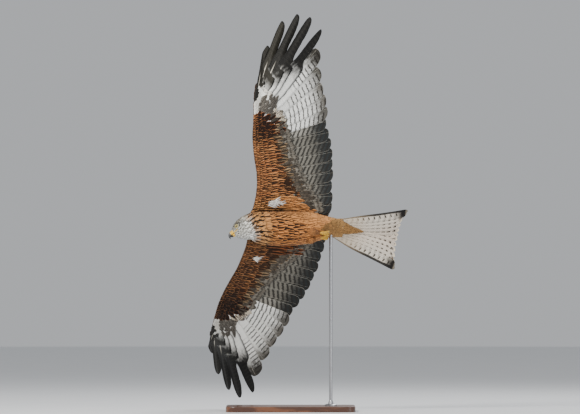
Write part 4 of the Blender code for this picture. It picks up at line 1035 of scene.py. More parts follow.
def tail_tip(q):
    l, r = np.array(TAIL_L), np.array(TAIL_R)
    p = r + (l - r) * (q + 1) / 2
    return np.array([p[0] + 0.0105 * (1 - abs(q) ** 2.2) + 0.010 * max(q, 0) * (1 - abs(q) ** 6), p[1]])


def tail_lines(q, k):
    """Centre line of the tail feather at share q, k from the body to the end."""
    l = np.stack([tail_edge(1, float(t)) for t in k])
    r = np.stack([tail_edge(-1, float(t)) for t in k])
    p = r + (l - r) * (q + 1) / 2
    end = tail_tip(q)
    p = p + (end - p[-1])[None] * (k ** 3)[:, None]
    return p


def tail_coat():
    coat = Coat("tail_feathers", M_TAIL)
    kk = np.linspace(0, 1, 60)
    for i in range(12):
        q0 = 1 - 2 * i / 11.0
        q = q0 * 0.925
        rank = abs(i - 5.5) - 0.5                      # 0 for the middle pair, 5 for the outermost
        line = tail_lines(q, kk)
        root = np.array([-0.168, TAIL_ROOT[1] + 0.020 * q0])
        w = smooth(0.0, 0.30, kk)[:, None]
        chordl = root[None] + (line - root[None]) * (0.10 + 0.90 * kk)[:, None] ** 0.9
        line = chordl * (1 - w) + line * w
        line[0] = root
        seg = np.concatenate([[0], np.cumsum(np.linalg.norm(np.diff(line, axis=0), axis=1))])
        L = seg[-1]
        cx = np.interp(TT.v * L, seg, line[:, 0])
        cy = np.interp(TT.v * L, seg, line[:, 1])
        e = 0.004
        tx = np.interp(TT.v * L + e, seg, line[:, 0]) - np.interp(TT.v * L - e, seg, line[:, 0])
        ty = np.interp(TT.v * L + e, seg, line[:, 1]) - np.interp(TT.v * L - e, seg, line[:, 1])
        n = np.hypot(tx, ty)
        tx, ty = tx / n, ty / n
        X = np.stack([ty, -tx], -1)                    # to the bird's left
        outer = 1.0 if q0 > 0 else -1.0
        wo = 0.0112 if rank > 4.5 else 0.0125
        wi = 0.0235
        u, v = TT.u, TT.v
        is_out = u * outer > 0
        wid = np.where(is_out, wo, wi) * (0.42 + 0.58 * smooth(0.05, 0.55, v))
        vt = np.where(is_out, 0.82, 0.78) if rank < 4.5 else np.where(is_out, 0.955, 0.93)
        tip = np.maximum(np.sqrt(np.clip(1 - np.clip((v - vt) / (1 - vt), 0, 1) ** 1.9, 0, 1)), 0.06)
        ac = u * wid * tip
        lean = 0.006 * smooth(0.85, 1.0, v) * (u * outer) * (rank / 5.0) * np.where(is_out, 0.3, 0.6)
        x = cx + X[:, 0] * ac + tx * lean
        y = cy + X[:, 1] * ac + ty * lean
        z = tail_z(x, y) - 0.0009 * (rank - 2.5) * (0.35 + 0.65 * smooth(0, 0.4, v)) - 0.02 * np.abs(ac)
        z = z - 0.5 * TT.side * 0.0006 * (0.4 + 0.9 * np.exp(-(ac / 0.0014) ** 2))
        P = np.stack([x, y, z], -1)[None]
        rnd = float(RNG.random())
        vn = np.stack([u * outer, v, np.full(TT.n, rnd)], -1)[None]
        vm = np.stack([ac * outer, v * L, TT.side], -1)[None]
        out_k = rank / 5.0
        pale = np.asarray(srgb(224, 214, 198)) * (1 - 0.35 * (1 - out_k)) + np.asarray(srgb(206, 178, 152)) * 0.35 * (1 - out_k)
        if rank > 4.5:
            under = dict(cA=pale, cB=srgb(26, 23, 21), cS=srgb(44, 37, 33), cE=srgb(20, 18, 17), p1=(0.870, 0.075, 0.0), p2=(0.0195, 0.30, 0.08), p3=(-0.95, -0.12, 0.0), p4=(0.0, 0.0, 0.0))
        else:
            tb = 0.93 if rank > 3.5 else 0.985
            under = dict(cA=pale, cB=srgb(120, 104, 90), cS=srgb(58, 48, 42), cE=srgb(252, 240, 216), p1=(tb, 0.03, 0.0), p2=(0.0195, 0.75, 0.07), p3=(-0.55, 0.02, 0.0), p4=(0.35, 0.0, 0.0))
        top_c = srgb(164, 92, 52) if rank < 4.5 else srgb(138, 80, 50)
        upper = dict(cA=top_c, cB=srgb(120, 62, 34) if rank > 3.5 else top_c, cS=srgb(96, 48, 26), cE=srgb(214, 150, 96), p1=(0.86, 0.06, 0.0), p2=(0.0195, 0.35, 0.05), p3=(-1.2, 0.05, 0.4), p4=(0.45, 0.0, 0.0))
        a = {kx: np.where(TT.side[:, None] > 0, np.asarray(under[kx], float)[None], np.asarray(upper[kx], float)[None])[None] for kx in under}
        extra = np.stack([np.full(TT.n, 1.0 if rank > 4.5 else 0.0), np.full(TT.n, out_k), TT.side], -1)[None]
        a["tx"] = extra
        coat.add(P, TT, dict(vn=vn, vm=vm, **a), np.array([[0.022 + 0.082 * i, 0.5]]), 1.0, flip=False, uvshape=(0.034, 0.96))
    return coat.make()


def tail_paint():
    """Dark outer web and tip of the outermost tail feathers, pale fringe at the ends of the rest."""
    t = M_TAIL.node_tree
    g = Graph.__new__(Graph)
    g.mat, g.t, g.bsdf = M_TAIL, t, t.nodes["Principled BSDF"]
    base = g.bsdf.inputs["Base Color"].links[0].from_socket
    tx, _ = g.attr("tx")
    outermost, out_k, face = g.xyz(tx)
    vn, _ = g.attr("vn")
    u, v, rnd = g.xyz(vn)
    vm, _ = g.attr("vm")
    ac, al, _s = g.xyz(vm)
    under = g.step(-0.2, 0.2, face)
    n = g.noise(g.join(g.m("MULTIPLY", u, 3.0), g.m("MULTIPLY", v, 22.0), g.m("MULTIPLY", rnd, 9.0)), 1.0, 3.0, 0.6)
    web = g.step(0.18, 0.40, g.m("ADD", g.m("ADD", u, g.m("MULTIPLY", g.m("SUBTRACT", v, 0.40), 0.42)), g.m("MULTIPLY", g.m("SUBTRACT", n, 0.5), 0.5)))
    col = g.mix(g.m("MULTIPLY", g.m("MULTIPLY", web, outermost), g.m("MULTIPLY", g.step(0.03, 0.12, v), 0.96)), base, srgb(22, 19, 18))
    # small dark marks beside the shaft
    ph = g.m("DIVIDE", al, 0.0195)
    fr = g.m("FRACT", g.m("ADD", ph, g.m("ADD", rnd, g.m("MULTIPLY", n, 0.35))))
    spot = g.m("MULTIPLY", g.step(0.16, 0.08, g.m("ABSOLUTE", g.m("ADD", g.m("SUBTRACT", fr, 0.5), g.m("MULTIPLY", u, 0.25)))),
               g.step(0.34, 0.20, g.m("ABSOLUTE", g.m("ADD", u, 0.24))))
    spot = g.m("MULTIPLY", g.m("MULTIPLY", spot, under), g.m("MULTIPLY", g.step(0.22, 0.40, v), g.step(0.97, 0.93, v)))
    col = g.mix(g.m("MULTIPLY", spot, 0.92), col, srgb(24, 19, 16))
    col = g.mix(g.m("MULTIPLY", g.m("MULTIPLY", g.step(0.62, 0.25, v), 0.45), under), col, srgb(186, 162, 130))
    # pale ends
    fringe = g.m("MULTIPLY", g.step(0.962, 0.985, g.m("ADD", v, g.m("MULTIPLY", g.m("SUBTRACT", n, 0.5), 0.02))), g.m("SUBTRACT", 1.0, g.m("MULTIPLY", outermost, 0.75)))
    col = g.mix(g.m("MULTIPLY", fringe, 0.85), col, srgb(240, 226, 200))
    g.put(g.bsdf.inputs["Base Color"], col)


def under_tail(x, y, face):
    """Surface of the rump and tail base on one face, at plan positions."""
    k = np.clip((TAIL_ROOT[0] - x) / (0.110 if face < 0 else 0.105), 0, 1)
    q = np.clip(np.abs(y - TAIL_ROOT[1] + (0.035 if face < 0 else 0.05) * k) / 0.034, 0, 1)
    t = 0.0008 + (0.0110 if face < 0 else 0.0090) * (1 - k) ** 1.1 * (1 - q ** 2)
    zt = tail_z(x, y) + face * t
    s = np.clip(x + 0.195, 0.0, 0.08)
    cy, cz, a, b = BODY_CURVES[1](s), BODY_CURVES[2](s), BODY_CURVES[3](s), BODY_CURVES[4 if face > 0 else 5](s)
    zb = cz + face * b * np.sqrt(np.clip(1 - ((y - cy) / a) ** 2, 0.0, 1))
    w = smooth(-0.200, -0.188, x)
    return zt * (1 - w) + zb * w


def tail_coverts(coat, T, roots, ends, W, face, look, h0, h1):
    roots, ends = np.asarray(roots, float), np.asarray(ends, float)
    N = len(roots)
    d = ends - roots
    L = np.linalg.norm(d, axis=1)[:, None]
    d = d / L
    X = np.stack([d[:, 1], -d[:, 0]], -1) * (1.0 if face < 0 else -1.0)
    v, u = T.v[None], T.u[None]
    W = np.broadcast_to(np.asarray(W, float), (N,))[:, None]
    al, ac = v * L, u * W * 0.5 * shape_round(v, 0.45, 0.50, 2.0, 0.15)
    x = roots[:, :1] + d[:, :1] * al + X[:, :1] * ac
    y = roots[:, 1:] + d[:, 1:] * al + X[:, 1:] * ac
    h0 = np.broadcast_to(np.asarray(h0, float), (N,))[:, None]
    h1 = np.broadcast_to(np.asarray(h1, float), (N,))[:, None]
    h = h0 + (h1 - h0) * v ** 0.6 - 0.12 * np.abs(ac) * np.abs(u) + 0.5 * T.side[None] * 0.0005 * (1 - 0.6 * np.abs(u))
    z = under_tail(x, y, face) + face * h
    rnd = RNG.random((N, 1))
    vn = np.stack(np.broadcast_arrays(u, v, rnd), -1)
    vm = np.stack(np.broadcast_arrays(ac, al, T.side[None]), -1)
    uvc = np.stack([0.05 + 0.9 * (roots[:, 1] + 0.06) / 0.12, 0.05 + 0.40 * (roots[:, 0] + 0.30) / 0.20], -1)
    if face > 0:
        uvc[:, 1] += 0.5
    coat.add(np.stack([x, y, z], -1), T, attrs(N, vn, vm, **{k: col3(c, N) for k, c in look(roots, rnd[:, 0]).items()}), uvc, 0.006, flip=False)


def tail_base_coat():
    coat = Coat("tail_coverts", M_COAT)
    T = Template(12, 6)
    # long tan feathers under the tail, drawn to a point
    tan = look_const(srgb(160, 120, 72), srgb(150, 110, 64), srgb(92, 62, 34), srgb(196, 158, 106), (0.5, 0.4, 0.0014), (0.01, 0, 0.22), (-1, 1, 0), (0.45, 0.45, 0.2), 0.16)
    mid = lambda x: np.interp(x, [-0.300, -0.281, -0.236, -0.195, -0.11], [-0.0170, -0.0150, -0.0035, -0.0018, 0.0])
    half = lambda x: np.interp(x, [-0.292, -0.281, -0.260, -0.236, -0.195, -0.11], [0.0005, 0.003, 0.0125, 0.0175, 0.0235, 0.0300])
    rows = [(-0.291, 0.072, 1), (-0.284, 0.070, 2), (-0.274, 0.068, 3), (-0.262, 0.066, 4), (-0.248, 0.062, 5), (-0.234, 0.058, 6), (-0.219, 0.054, 7),
            (-0.204, 0.050, 7), (-0.189, 0.046, 8), (-0.174, 0.043, 9), (-0.160, 0.040, 9), (-0.146, 0.038, 10)]
    for j, (xt, L, n) in enumerate(rows):
        q = (np.arange(n) + 0.5) / n * 2 - 1 + (0.10 * RNG.normal(size=n) if n > 3 else 0.0)
        xr = xt + L
        r = np.stack([xr + 0.002 * RNG.normal(size=n), mid(xr) + half(xr) * 0.85 * q], 1)
        e = np.stack([xt + 0.003 * RNG.normal(size=n) + (0.004 * np.abs(q) if n > 2 else 0.0), mid(xt) + half(xt) * q], 1)
        tail_coverts(coat, T, r, e, 0.0165, -1, tan, -0.0030, 0.0008 + 0.0018 * j / len(rows))
    # uppertail coverts and rump, rufous
    ruf = look_const(srgb(166, 92, 46), srgb(184, 108, 58), srgb(92, 48, 26), srgb(206, 140, 88), (0.5, 0.4, 0.0012), (0.01, 0, 0.25), (-1, 1, 0), (0.55, 0.5, 0.2), 0.25)
    rows = [(-0.215, 0.060, 5), (-0.198, 0.054, 6), (-0.182, 0.048, 7), (-0.166, 0.044, 8), (-0.150, 0.040, 9)]
    for j, (x, L, n) in enumerate(rows):
        half_u = float(np.interp(x, [-0.235, -0.20, -0.16, -0.11], [0.015, 0.021, 0.026, 0.032]))
        q = (np.arange(n) + 0.5 + 0.12 * RNG.normal(size=n)) / n * 2 - 1
        r = np.stack([x + 0.003 * RNG.normal(size=n), -0.0080 + half_u * q], 1)
        d = np.stack([-np.ones(n), 0.10 * q - 0.05], 1)
        d = d / np.linalg.norm(d, axis=1)[:, None]
        tail_coverts(coat, T, r, r + d * (L * RNG.uniform(0.92, 1.08, n))[:, None], 0.017, 1, ruf, -0.0030, 0.0036)
    return coat.make()


# ================================================================ eyes, lids, bill
EYE_POS = {q: head_pt(0.0105, q * 0.0200, 0.0054) for q in (1, -1)}
EYE_AXIS = {}
for _q in (1, -1):
    _v = 0.30 * HEAD_F + 0.94 * _q * HEAD_L - 0.10 * HEAD_U
    EYE_AXIS[_q] = _v / np.linalg.norm(_v)
EYE_R = 0.0062


def eye_frame(q):
    ax = EYE_AXIS[q]
    front = HEAD_F - ax * (HEAD_F @ ax)
    front = front / np.linalg.norm(front)
    up = np.cross(ax, front) * (1.0 if np.cross(ax, front) @ HEAD_U > 0 else -1.0)
    return ax, front, up


def ring_grid(rows, cols, closed_rows=False):
    """Faces of a grid that closes across its columns."""
    F = []
    for i in range(rows if closed_rows else rows - 1):
        for j in range(cols):
            k = (j + 1) % cols
            a, b = i, (i + 1) % rows
            F.append((a * cols + j, b * cols + j, b * cols + k, a * cols + k))
    return F


def eye_material():
    g = Graph("eye_ball")
    vn, _ = g.attr("ea")
    rho, phi, _x = g.xyz(vn)
    streak = g.noise(g.join(g.m("MULTIPLY", g.m("SINE", phi), 9.0), g.m("MULTIPLY", g.m("COSINE", phi), 9.0), g.m("MULTIPLY", rho, 2.0)), 1.0, 4.0, 0.6)
    iris = g.mix(g.step(0.35, 0.70, streak), srgb(222, 206, 140), srgb(190, 160, 84))
    iris = g.mix(g.step(0.64, 0.80, rho), iris, srgb(60, 44, 22))
    col = g.mix(g.step(0.55, 0.53, rho), iris, srgb(8, 8, 9))
    col = g.mix(g.step(0.80, 0.86, rho), col, srgb(60, 48, 36))
    g.put(g.bsdf.inputs["Base Color"], col)
    g.bsdf.inputs["Roughness"].default_value = 0.12
    g.bsdf.inputs["Coat Weight"].default_value = 0.7
    g.bsdf.inputs["Coat Roughness"].default_value = 0.02
    g.bsdf.inputs["Coat IOR"].default_value = 1.38
    return g.mat


def make_eyes():
    out = []
    mat = eye_material()
    for q, word in ((1, "left"), (-1, "right")):
        ax, fr, up = eye_frame(q)
        rho = np.concatenate([np.linspace(0.02, 1.2, 28), np.linspace(1.3, math.pi - 0.05, 10)])
        phi = np.linspace(0, TAU, 48, endpoint=False)
        R, H = np.meshgrid(rho, phi, indexing="ij")
        bulge = EYE_R * (1 + 0.035 * np.exp(-(R / 0.55) ** 2))
        P = EYE_POS[q] + ax * (np.cos(R) * bulge)[..., None] + (fr[None, None] * np.cos(H)[..., None] + up[None, None] * np.sin(H)[..., None]) * (np.sin(R) * bulge)[..., None]
        V = P.reshape(-1, 3)
        F = ring_grid(len(rho), 48)
        F.append(tuple(range(48)))
        F.append(tuple((len(rho) - 1) * 48 + j for j in range(48))[::-1])
        ob = plain_mesh("eye_ball_" + word, V, F, mat)
        at = ob.data.attributes.new("ea", "FLOAT_VECTOR", "POINT")
        at.data.foreach_set("vector", np.stack([R.ravel(), H.ravel(), R.ravel()], -1).astype(np.float32).ravel())
        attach(ob, "root")
        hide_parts("eye_" + word)
        out.append(ob)
    return out


def lids(q):
    """A rolled ring of lid round one eye, with folds, closed behind."""
    ax, fr, up = eye_frame(q)
    phi = np.linspace(0, TAU, 64, endpoint=False)
    # opening: a little flattened on top, drawn to a corner in front and behind
    edge = np.radians(51.0) - np.radians(17.0) * np.clip(np.sin(phi - 0.30), 0, 1) ** 1.3 - np.radians(4.0) * np.clip(-np.sin(phi), 0, 1) ** 1.5 + np.radians(5.0) * np.abs(np.cos(phi)) ** 8
    prof = [(1.00, 1.52, 0), (0.80, 1.30, 0), (0.64, 1.235, 0.2), (0.50, 1.175, 0.3), (0.38, 1.150, 0.5), (0.30, 1.120, 0.6), (0.22, 1.128, 0.8),
            (0.14, 1.118, 0.9), (0.07, 1.100, 1.0), (0.02, 1.070, 1.0), (0.00, 1.035, 1.0), (0.03, 1.005, 1.0), (0.10, 0.985, 0.6), (0.50, 0.96, 0), (1.00, 0.95, 0)]
    outer = np.radians(78.0)
    V, C = [], []
    yellow, grey = np.asarray(srgb(222, 206, 126)), np.asarray(srgb(92, 84, 68))
    for t, r, y in prof:
        a = edge + (outer - edge) * t
        rr = EYE_R * r + 0.00010 * np.sin(phi * 26 + 3 * t) * (0.15 < t < 0.7)
        V.append(EYE_POS[q] + ax * (np.cos(a) * rr)[:, None] + (fr[None] * np.cos(phi)[:, None] + up[None] * np.sin(phi)[:, None]) * (np.sin(a) * rr)[:, None])
        C.append(np.broadcast_to(grey * (1 - y) + yellow * y, (64, 3)) * (0.20 if t < 0.05 and r < 1.05 else 1.0))
    F = ring_grid(len(prof), 64, closed_rows=True)
    return np.concatenate(V), F, np.concatenate(C)


def gape(q):
    """The yellow corner of the mouth, running back under the eye."""
    f = np.linspace(0.0300, 0.0120, 14)
    u = -0.0066 - 0.0016 * smooth(0.0300, 0.0120, f)
    th = np.degrees(np.arcsin(np.clip(u / BODY_CURVES[5](0.372 + f), -0.95, 0.95)))
    th = th if q > 0 else 180.0 - th
    c = body_ev(0.372 + f, th, 0.0002)
    c[0] = head_pt(0.0315, q * 0.0088, -0.0068)
    c[1] = 0.5 * (c[0] + c[2])
    r = 0.00140 * np.sqrt(np.clip(1 - ((np.arange(14) - 2) / 12.0) ** 2, 0.03, 1))
    rings = []
    for i in range(14):
        t = c[min(i + 1, 13)] - c[max(i - 1, 0)]
        t = t / np.linalg.norm(t)
        a = np.cross(t, HEAD_U)
        a = a / np.linalg.norm(a)
        b = np.cross(t, a)
        w = np.linspace(0, TAU, 12, endpoint=False)
        rings.append(c[i] + r[i] * (a[None] * np.cos(w)[:, None] + b[None] * np.sin(w)[:, None]))
    V, F = shell(rings)
    return V, F, np.broadcast_to(np.asarray(srgb(222, 176, 48)), (len(V), 3))


def bill_half(path, ring_n, lower):
    """Smooth bill half over the stations of its path: (forward, up, half height, half width)."""
    p = np.array(path)
    seg = np.concatenate([[0], np.cumsum(np.hypot(np.diff(p[:, 0]), np.diff(p[:, 1])))])
    t = np.linspace(0, seg[-1], 44 if not lower else 28)
    f, u, h, w = (pchip(seg, p[:, k])(t) for k in range(4))
    tf, tu = np.gradient(f, t), np.gradient(u, t)
    n = np.hypot(tf, tu)
    tf, tu = tf / n, tu / n
    k = t / seg[-1]
    ang = np.linspace(0, TAU, ring_n, endpoint=False)
    rings, cols = [], []
    for i in range(len(t)):
        c, s = np.cos(ang), np.sin(ang)
        if lower:
            ww = np.sign(c) * np.abs(c) ** 0.85
            hh = np.sign(s) * np.abs(s) ** 0.9
        else:
            ww = np.sign(c) * np.abs(c) ** (0.8 + 0.2 * k[i]) * (1 - 0.16 * np.clip(s, 0, 1) ** 2)      # narrow culmen
            hh = np.sign(s) * np.abs(s) ** 1.0
        # cere: a soft bulge, then a step to the horn
        cere = 1 + (0.05 * math.exp(-((k[i] - 0.16) / 0.10) ** 2) - 0.035 * math.exp(-((k[i] - 0.33) / 0.03) ** 2)) * (0 if lower else 1)
        nost = np.zeros(ring_n)
        if not lower:
            for sgn in (0.0, math.pi):
                da = np.angle(np.exp(1j * (ang - (sgn + (0.42 if sgn == 0 else -0.42)))))
                nost += np.exp(-((k[i] - 0.20) / 0.035) ** 2 - (da / 0.20) ** 2)
        tooth = 1.0
        if not lower:
            tooth = 1 + 0.10 * np.exp(-((k[i] - 0.48) / 0.07) ** 2) * np.clip(-s, 0, 1)
        ww = ww * w[i] * cere * (1 - 0.22 * nost)
        hh = hh * h[i] * cere * tooth
        nf, nu = -tu[i], tf[i]
        rings.append(head_pt(f[i] + nf * hh, ww, u[i] + nu * hh))
        yel, horn, dark = np.asarray(srgb(232, 186, 54)), np.asarray(srgb(92, 88, 84)), np.asarray(srgb(24, 23, 24))
        lim = 0.37 - 0.07 * s if not lower else 0.44 + 0 * s
        a = smooth(-0.06, 0.06, k[i] - lim)[:, None]
        b = smooth(0.04, 0.26, k[i] - lim)[:, None]
        col = yel * (1 - a) + (horn * (1 - b) + dark * b) * a
        # nostrils painted near black: painted shade inside their openings
        col = col * (1 - 0.92 * np.clip(nost * 1.3, 0, 1))[:, None]
        # the first two rings, where the bill meets the feathers, are darker: painted shade
        if i < 2:
            col = col * 0.8
        cols.append(col)
    V, F = shell(rings)
    return V, F, np.concatenate(cols)


BILL_F = 0.0295
UPPER_BILL = [(BILL_F, 0.0019, 0.0084, 0.0098), (0.0345, 0.0017, 0.0082, 0.0088), (0.0395, 0.0009, 0.0075, 0.0072),
              (0.0445, -0.0015, 0.0060, 0.0055), (0.0482, -0.0055, 0.0042, 0.0038), (0.0502, -0.0100, 0.0026, 0.0024),
              (0.0508, -0.0140, 0.0013, 0.0013), (0.0507, -0.0165, 0.0005, 0.0005)]
LOWER_BILL = [(BILL_F, -0.0102, 0.0032, 0.0078), (0.0345, -0.0101, 0.0029, 0.0067), (0.0390, -0.0099, 0.0024, 0.0052),
              (0.0430, -0.0098, 0.0015, 0.0036), (0.0452, -0.0099, 0.0007, 0.0018)]


def join_meshes(name, parts, mat, smooth_it=True):
    verts, faces, cols, base = [], [], [], 0
    for V, F, C in parts:
        verts.append(V)
        cols.append(C)
        faces += [tuple(i + base for i in f) for f in F]
        base += len(V)
    ob = plain_mesh(name, np.concatenate(verts), faces, mat, smooth=smooth_it)
    paint_attr(ob.data, np.concatenate(cols))
    bm = bmesh.new()
    bm.from_mesh(ob.data)
    bmesh.ops.recalc_face_normals(bm, faces=bm.faces)
    bm.to_mesh(ob.data)
    bm.free()
    return ob


def make_bill():
    mat = bare_material("bill_surface", rough=0.26, sub=0.05)
    out = []
    for name, path, lower in (("upper", UPPER_BILL, False), ("lower", LOWER_BILL, True)):
        ob = join_meshes("bill_%s_fine" % name, [bill_half(path, 36, lower)], mat)
        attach(ob, "root")
        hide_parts("bill_" + name)
        out.append(ob)
    return out


# ================================================================ feet and claws
def tube_on(path, radii, around=16, lump=0.0):
    path = np.asarray(path, float)
    seg = np.concatenate([[0], np.cumsum(np.linalg.norm(np.diff(path, axis=0), axis=1))])
    n = max(8, int(seg[-1] / 0.0008))
    t = np.linspace(0, seg[-1], n)
    c = np.stack([pchip(seg, path[:, k])(t) for k in range(3)], -1)
    r = pchip(seg, radii)(t)
    r = r * (1 + lump * np.abs(np.sin(t / 0.0022 * math.pi)) - lump * 0.5)
    rings = []
    for i in range(n):
        d = c[min(i + 1, n - 1)] - c[max(i - 1, 0)]
        d = d / np.linalg.norm(d)
        a = np.cross(np.array([0.0, 1.0, 0.0]), d)
        a = a / np.linalg.norm(a)
        b = np.cross(d, a)
        w = np.linspace(0, TAU, around, endpoint=False)
        rings.append(c[i] + r[i] * (a[None] * np.cos(w)[:, None] + b[None] * np.sin(w)[:, None]))
    V, F = shell(rings)
    return V, F


def make_feet():
    mat = bare_material("foot_scales", rough=0.46, sub=0.08)
    horn = bare_material("claw_horn", rough=0.24, sub=0.0)
    yellow, black = np.asarray(srgb(196, 150, 44)), np.asarray(srgb(26, 24, 24))
    for side, word in ((1, "left"), (-1, "right")):
        at = FOOT_AT[side]
        P, C = [], []
        V, F = tube_on([at + np.array([0.013, 0, 0.0015]), at + np.array([0.006, 0, -0.001]), at + np.array([-0.001, 0, -0.0015]), at + np.array([-0.006, 0, -0.0005])],
                       [0.0042, 0.0050, 0.0066, 0.0048], 24, 0.05)
        P.append((V, F, np.broadcast_to(yellow, V.shape)))
        for j, spread in enumerate((-0.0060, 0.0, 0.0060)):
            root = at + np.array([-0.003, spread * 0.5, -0.0010])
            V, F = tube_on([root, root + np.array([-0.008, spread * 0.35, -0.0035]), root + np.array([-0.017, spread * 0.6, -0.0035]), root + np.array([-0.0228, spread * 0.7, 0.0003])],
                           [0.0030, 0.0034, 0.0031, 0.0022], 16, 0.10)
            P.append((V, F, np.broadcast_to(yellow, V.shape)))
            V, F = tube_on([root + np.array([-0.0215, spread * 0.69, -0.0006]), root + np.array([-0.0238, spread * 0.7, 0.0022]), root + np.array([-0.0245, spread * 0.7, 0.0065]), root + np.array([-0.0205, spread * 0.7, 0.0115])],
                           [0.0019, 0.0021, 0.0014, 0.0003], 12, 0.0)
            C.append((V, F, np.broadcast_to(black, V.shape)))
        foot = join_meshes("foot_%s_fine" % word, P, mat)
        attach(foot, "root")
        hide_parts("foot_" + word)
        claws = join_meshes("claws_" + word, C, horn)
        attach(claws, "root")


# ================================================================ relief of the head
EYE_S, EYE_TH = 0.372 + 0.0105, 10.4


def relief(s, th):
    """Brow, eye socket and cheek, as height over the plain ring shape."""
    s, th = np.asarray(s, float), np.asarray(th, float)
    out = np.zeros(np.broadcast(s, th).shape)
    for mir in (False, True):
        t = (180.0 - th if mir else th)
        t = (t + 180.0) % 360.0 - 180.0
        brow = np.exp(-((s - 0.3835) / 0.0075) ** 2 - ((t - 27.0) / 8.0) ** 2)
        sock = np.exp(-((s - EYE_S) / 0.0068) ** 2 - ((t - EYE_TH) / 15.0) ** 2)
        cheek = np.exp(-((s - 0.374) / 0.010) ** 2 - ((t + 24.0) / 16.0) ** 2)
        lore = np.exp(-((s - 0.3945) / 0.0050) ** 2 - ((t - 6.0) / 14.0) ** 2)
        out = out + 0.0016 * brow - 0.0022 * sock + 0.0008 * cheek - 0.0008 * lore
    return out


def body_ev(s, th, h):
    s, th, h = np.broadcast_arrays(np.asarray(s, float), np.asarray(th, float), np.asarray(h, float))
    return body_eval(s, th, h + relief(s, th))


LEG_R = [0.006, 0.0115, 0.0130, 0.0128, 0.0116, 0.0100, 0.0085, 0.0070]
FOOT_AT = {1: np.array([-0.1215, 0.0030, -0.0560]), -1: np.array([-0.1230, -0.0165, -0.0515])}


def leg_ev(side):
    at = FOOT_AT[side]
    hip = np.array([-0.060, side * 0.022 - 0.004, -0.056])
    heel = at + np.array([0.012, 0.0, 0.003])
    t = (heel - hip) / np.linalg.norm(heel - hip)
    a = np.cross(np.array([0.0, 1.0, 0.0]), t)
    a = a / np.linalg.norm(a)
    b = np.cross(t, a)

    def ev(v, th, h):
        v, th, h = np.broadcast_arrays(np.asarray(v, float), np.asarray(th, float), np.asarray(h, float))
        vc = np.clip(v, 0, 1)
        c = hip + (heel - hip) * v[..., None] + np.array([0, 0, -0.010]) * np.sin(math.pi * vc)[..., None]
        r = np.interp(vc, np.linspace(0, 1, 8), LEG_R) + h
        ang = np.radians(th)
        return c + a * (r * np.cos(ang))[..., None] + b * (r * np.sin(ang))[..., None]
    return ev


# ================================================================ markings
def stack3(*v):
    return np.stack(np.broadcast_arrays(*[np.asarray(q, float) for q in v]), 1)


def c_mix(a, b, t):
    t = np.asarray(t, float)[:, None]
    return np.asarray(a) * (1 - t) + np.asarray(b) * t


def head_tone(s, th):
    """Soft streaks of the head, running with the feathers, from -1 to 1."""
    a = np.radians(th)
    q = 0.50 * np.sin(a * 21 + 2.2 * np.sin(s * 300) + 0.4) + 0.35 * np.sin(a * 34 + 1.9 * np.sin(s * 210 + 1.0)) + 0.25 * np.sin(s * 820 + a * 9)
    return np.clip(q, -1, 1)


def eye_ring_and_brow_shade(s, th):
    """1 on the ring of dark feathers round each eye and in the line behind it; the ring is stronger above the eye, as
    painted shade under the brow.
    """
    out = np.zeros(len(s))
    for mir in (False, True):
        t = 180.0 - th if mir else th
        t = (t + 180.0) % 360.0 - 180.0
        x, y = (s - EYE_S) / 0.0082, (t - EYE_TH) / 15.5
        r = np.hypot(x, y)
        # the ring's upper half is stronger: painted shade under the brow
        out = np.maximum(out, np.exp(-((r - 0.96) / 0.24) ** 2) * (0.80 + 0.20 * (y > 0)))
        out = np.maximum(out, 0.55 * smooth(-0.7, -1.1, x) * smooth(-3.6, -2.2, x) * np.exp(-((y - 0.15 - 0.12 * x) / 0.42) ** 2))
        out = np.maximum(out, 0.25 * smooth(0.8, 1.2, x) * smooth(2.8, 2.0, x) * np.exp(-((y + 0.1) / 0.5) ** 2))
    return out


